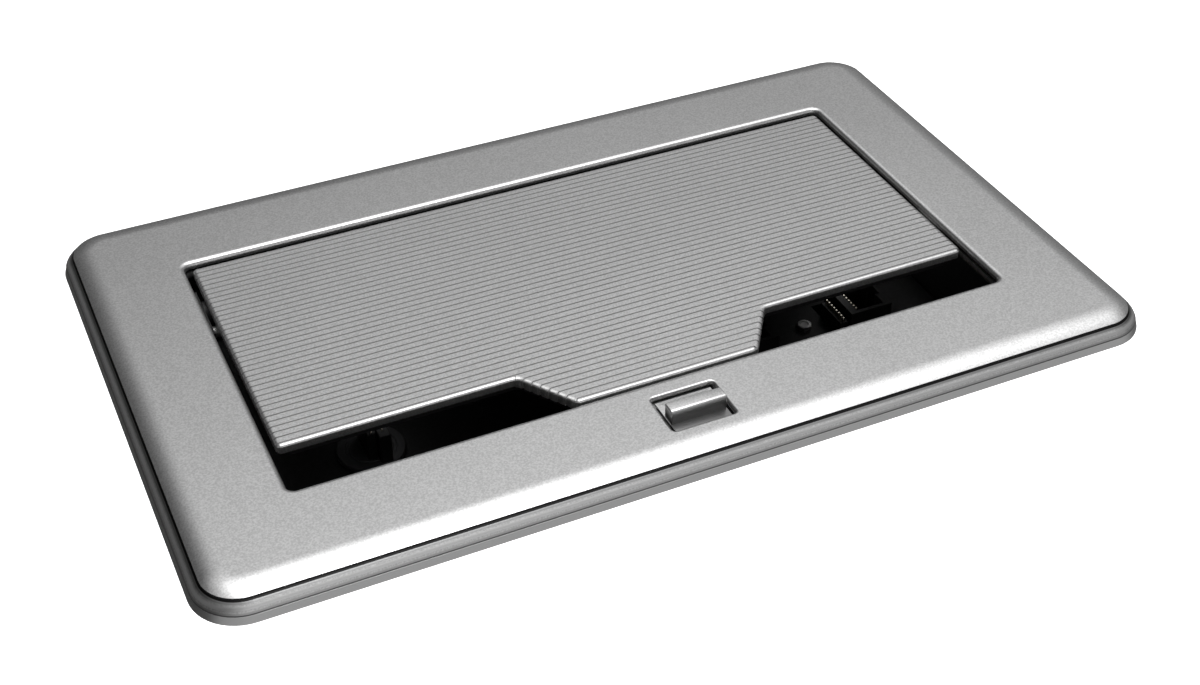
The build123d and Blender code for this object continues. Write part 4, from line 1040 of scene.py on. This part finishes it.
def make_thread(sizes, low, high):
    """Threaded shank: at height z and angle a the radius is the outer one less the depth times a
    triangle wave of z / pitch - a / full turn."""
    rows = int((high - low) / sizes.thread_pitch * 8)
    z, angle = np.linspace(low, high, rows), np.linspace(0, 2 * math.pi, 36, endpoint=False)
    zz, aa = np.meshgrid(z, angle, indexing="ij")
    phase = (zz / sizes.thread_pitch - aa / (2 * math.pi)) % 1.0
    radius = sizes.shank_radius - sizes.thread_depth * np.abs(2 * phase - 1)
    return loft(list(np.stack([radius * np.cos(aa), radius * np.sin(aa), zz], -1)))


def make_wing_screw(sizes, node):
    """Wing screw: threaded shank, softened hub and two rounded wings."""
    low, high = node_box(node)
    height, edge, corner = sizes.wing_height, sizes.wing_edge, sizes.wing_corner
    radius, reach = (high[0] - low[0]) / 2, (high[1] - low[1]) / 2
    x, y = (low[0] + high[0]) / 2, (low[1] + high[1]) / 2
    top = low[2] + height
    below, inward = quarter(edge, edge, 6)
    rounding = list(zip(radius - below, -inward))
    hub = lathe([(wide, -height - z) for wide, z in reversed(rounding)] + rounding, 40)

    def side_view(inset):
        """Outline of both wings seen from the side."""
        return corner_loop((-reach + inset, -height + inset), (reach - inset, -sizes.wing_drop - inset),
                           corner - inset, steps=6)

    wings = capped_bar(side_view, edge, sizes.wing_thickness / 2)
    thread = make_thread(sizes, top, high[2])
    return [put(hub, (x, y, top)), put(wings, (x, y, top)), put(thread, (x, y, 0.0))]


def make_foot(sizes, node, screw):
    """Foot of a clamp: a turned disc with a fine groove round it and a flat face on top."""
    low, high = node_box(node)
    x, y, _ = np.mean(node_box(screw), axis=0)
    radius, bottom, chamfer = sizes.foot_radius, low[2] - high[2], sizes.foot_chamfer
    floor = radius - sizes.foot_groove
    profile = [(radius - chamfer - 0.1 * MM, bottom), (radius - 0.1 * MM, bottom + chamfer),
               (radius, bottom + chamfer + 0.2 * MM), (radius, -1.6 * MM), (floor, -1.5 * MM),
               (floor, -1.2 * MM), (radius, -1.1 * MM), (radius, -0.3 * MM),
               (radius - 0.1 * MM, -0.08 * MM), (radius - 0.3 * MM, 0.0)]
    return [put(lathe(profile, 56), (x, y, high[2]))]


def make_grommet(sizes, node):
    """Rubber grommet: a closed section with two bulging lips either side of the sheet."""
    low, high = node_box(node)
    outer, lip = (high[0] - low[0]) / 2, (high[1] - low[1]) / 2
    wall, bore, edge = sizes.sheet / 2, sizes.grommet_bore, sizes.bore_edge
    turn = np.linspace(0, math.pi / 2, 7)
    reach = outer - sizes.outlet_radius + sizes.lip_shoulder
    bulge = list(zip(outer - reach * (1 - np.cos(turn)), wall + (lip - wall) * np.sin(turn)))
    upper = [(sizes.outlet_radius, wall)] + bulge + [(bore + edge, lip), (bore, lip - edge)]
    lower = [(radius, -z) for radius, z in reversed(upper)]
    return [put(lathe(lower + upper, 64, closed=True), (low + high) / 2, "+Y")]


# Operators, one for each group of like pieces

def require(context, *names):
    """The property groups by name; an operator that misses one stops with an error."""
    groups = [getattr(context.scene, name, None) for name in names]
    if None in groups:
        raise RuntimeError("register() has to run before this operator")
    return groups


class TABLEBOX_OT_finishes(Operator):
    """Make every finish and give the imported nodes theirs"""
    bl_idname = "tablebox.finishes"
    bl_label = "Finishes"

    def execute(self, context):
        make_finishes(*require(context, "tablebox_colours", "tablebox_lid"))
        for name, node in frame["nodes"].items():
            node.data.materials.clear()
            node.data.materials.append(bpy.data.materials[home_of(name)[0]])
        return {"FINISHED"}


class TABLEBOX_OT_bezel(Operator):
    """Rounded bezel with the latch window and the shelf, and the seal under it"""
    bl_idname = "tablebox.bezel"
    bl_label = "Bezel"

    def execute(self, context):
        sizes, latch = require(context, "tablebox_frame", "tablebox_latch")
        surface("bezel", make_bezel(sizes, latch), "top_bezel")
        surface("seal", make_seal(sizes), "parting_seal")
        return {"FINISHED"}


class TABLEBOX_OT_lid(Operator):
    """Grooved lid"""
    bl_idname = "tablebox.lid"
    bl_label = "Lid"

    def execute(self, context):
        lid, = require(context, "tablebox_lid")
        surface("lid", make_lid(lid), "lid_panel")
        return {"FINISHED"}


class TABLEBOX_OT_latch(Operator):
    """Latch slider with its finger bar, and its return spring"""
    bl_idname = "tablebox.latch"
    bl_label = "Latch"

    def execute(self, context):
        latch, = require(context, "tablebox_latch")
        surface("slider", make_slider(latch), "latch_slider")
        spring = surface("return_spring", make_spring(latch), "latch_spring")
        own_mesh(spring)
        return {"FINISHED"}


class TABLEBOX_OT_connectors(Operator):
    """Contacts, pins and the coupler inside the box"""
    bl_idname = "tablebox.connectors"
    bl_label = "Connectors"

    def execute(self, context):
        sizes, = require(context, "tablebox_connectors")
        for side in ("right", "left"):
            surface(f"springs_{side}", make_contacts(sizes, side), f"jack_contacts_{side}")
        surface("pins", make_header_pins(sizes), "header_pins")
        surface("round_base", make_coupler_base(sizes), "coupler_base")
        for side in ("left", "right"):
            node = f"coupler_block_{side}"
            surface(f"block_{side}", [round_block(*node_box(node), sizes.block_edge)], node)
        surface("domes", make_domes(sizes), "coupler_pins")
        return {"FINISHED"}


class TABLEBOX_OT_screws(Operator):
    """Hexagon heads of every group of screws"""
    bl_idname = "tablebox.screws"
    bl_label = "Screws"

    def execute(self, context):
        sizes, = require(context, "tablebox_clamps")
        for node in HEADS:
            surface(f"{node}_heads", make_heads(sizes, node), node, 25.0)
        return {"FINISHED"}


class TABLEBOX_OT_clamps(Operator):
    """Wing screws, feet and grommets"""
    bl_idname = "tablebox.clamps"
    bl_label = "Clamps and grommets"

    def execute(self, context):
        sizes, = require(context, "tablebox_clamps")
        for side in ("right", "left"):
            screw, foot, grommet = f"clamp_screw_{side}", f"clamp_foot_{side}", f"cable_grommet_{side}"
            surface(f"wing_{side}", make_wing_screw(sizes, screw), screw)
            surface(f"foot_{side}", make_foot(sizes, foot, screw), foot)
            surface(f"grommet_{side}", make_grommet(sizes, grommet), grommet)
        return {"FINISHED"}


# Stage

class TABLEBOX_OT_stage(Operator):
    """Table surface with its cut-out, light and camera"""
    bl_idname = "tablebox.stage"
    bl_label = "Table, light and camera"

    def execute(self, context):
        settings, = require(context, "tablebox_stage")
        make_table(settings)
        make_sky(context.scene)
        make_soft_box(place=(0.15, -0.2, 1.7), side=0.7, power=9.0)
        make_fill("inner_light_right", place=(0.078, 0.004, -0.006), power=0.0010)
        make_fill("inner_light_left", place=(-0.059, 0.0, -0.006), power=0.0007)
        make_camera(context.scene, settings.lens)
        context.scene.view_settings.view_transform = "Standard"
        return {"FINISHED"}


def make_table(settings):
    """Pale table surface round the cut-out for the skirt, as eight rectangles in one mesh."""
    reach, x, y = settings.table_reach, settings.cutout_length / 2, settings.cutout_width / 2
    marks_x, marks_y = (-reach, -x, x, reach), (-reach, -y, y, reach)
    points = [(px, py, -HAIR) for py in marks_y for px in marks_x]
    faces = [(4 * j + i, 4 * j + i + 1, 4 * j + i + 5, 4 * j + i + 4)
             for j in range(3) for i in range(3) if (i, j) != (1, 1)]
    mesh = bpy.data.meshes.new("table_surface")
    mesh.from_pydata(points, [], faces)
    finish = Finish("pale_table")
    mesh.materials.append(finish.set(Base_Color=(0.86, 0.86, 0.86, 1.0), Roughness=0.9,
                                     Emission_Color=(1.0, 1.0, 1.0, 1.0), Emission_Strength=1.0))
    table = bpy.data.objects.new("table_surface", mesh)
    table.visible_glossy = False
    bpy.context.scene.collection.objects.link(table)


def make_sky(scene):
    """Studio surroundings by direction: brightest overhead, dim on the left, lighter on the right
    and in front."""
    world = bpy.data.worlds.new("studio")
    world.use_nodes = True
    sky = Shading(world.node_tree, "Background", "Generated")
    overhead = sky.along((0.15, 0.10, 0.984))
    right = sky.along((0.9, 0.35, 0.0)).over(-0.3, 0.9)
    front_low = sky.along((0.0, -1.0, -0.6)).over(0.2, 0.8)
    front_high = sky.along((0.0, -0.93, 0.36)).over(0.8, 0.98)
    value = 0.04 + right * (overhead.over(0.1, 0.6) * 0.10 + 0.11) + overhead.over(0.60, 0.82) * 0.73 \
        + overhead.over(0.85, 0.96) * 1.6 + front_low * 0.45 + front_high * 0.25
    sky.set(Color=value, Strength=1.0)
    scene.world = world


def make_soft_box(place, side, power):
    """A square soft box that looks at the origin."""
    lamp = bpy.data.lights.new("top_light", "AREA")
    lamp.size, lamp.energy = side, power
    holder = bpy.data.objects.new("top_light", lamp)
    bpy.context.scene.collection.objects.link(holder)
    aim(holder, place, np.negative(place))


def make_fill(name, place, power):
    """A weak round light inside the box, which the camera does not see itself."""
    lamp = bpy.data.lights.new(name, "POINT")
    lamp.shadow_soft_size, lamp.energy = 5 * MM, power
    holder = bpy.data.objects.new(name, lamp)
    bpy.context.scene.collection.objects.link(holder)
    holder.location = place
    holder.visible_camera = False


def aim(holder, place, look):
    """Put a lamp or camera at a place and make it look along a direction."""
    holder.location = place
    holder.rotation_mode = "QUATERNION"
    holder.rotation_quaternion = Vector(look).to_track_quat("-Z", "Y")


def make_camera(scene, lens):
    """Camera in front of the left corner, looking down at about 38 degrees."""
    camera = bpy.data.cameras.new("camera")
    camera.lens, camera.sensor_width, camera.sensor_fit = lens, 36.0, "HORIZONTAL"
    camera.clip_start, camera.clip_end = 0.02, 50.0
    holder = bpy.data.objects.new("camera", camera)
    scene.collection.objects.link(holder)
    aim(holder, (-0.1491, -0.3286, 0.2677), (0.3296, 0.7133, -0.6184))
    scene.camera = holder


class TABLEBOX_PT_panel(Panel):
    """Lists the pieces in the sidebar"""
    bl_idname = "TABLEBOX_PT_panel"
    bl_label = "Flip-top table box"
    bl_space_type = "VIEW_3D"
    bl_region_type = "UI"
    bl_category = "Table box"

    def draw(self, context):
        for operator in OPERATORS:
            self.layout.operator(operator.bl_idname)


GROUPS = {
    "tablebox_frame": FrameSizes,
    "tablebox_lid": LidSizes,
    "tablebox_latch": LatchSizes,
    "tablebox_connectors": ConnectorSizes,
    "tablebox_clamps": ClampSizes,
    "tablebox_colours": FinishColours,
    "tablebox_stage": StageSettings,
}
OPERATORS = (
    TABLEBOX_OT_finishes,
    TABLEBOX_OT_bezel,
    TABLEBOX_OT_lid,
    TABLEBOX_OT_latch,
    TABLEBOX_OT_connectors,
    TABLEBOX_OT_screws,
    TABLEBOX_OT_clamps,
    TABLEBOX_OT_stage,
)


def register():
    """Add the property groups, operators and panel."""
    for kind in (*GROUPS.values(), *OPERATORS, TABLEBOX_PT_panel):
        bpy.utils.register_class(kind)
    for name, kind in GROUPS.items():
        setattr(bpy.types.Scene, name, PointerProperty(type=kind))


def unregister():
    """Take them away again."""
    for name in GROUPS:
        delattr(bpy.types.Scene, name)
    for kind in (TABLEBOX_PT_panel, *reversed(OPERATORS), *reversed(GROUPS.values())):
        bpy.utils.unregister_class(kind)


def main():
    """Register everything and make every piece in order."""
    register()
    for operator in OPERATORS:
        group, name = operator.bl_idname.split(".")
        getattr(getattr(bpy.ops, group), name)()


if __name__ == "__main__":
    main()
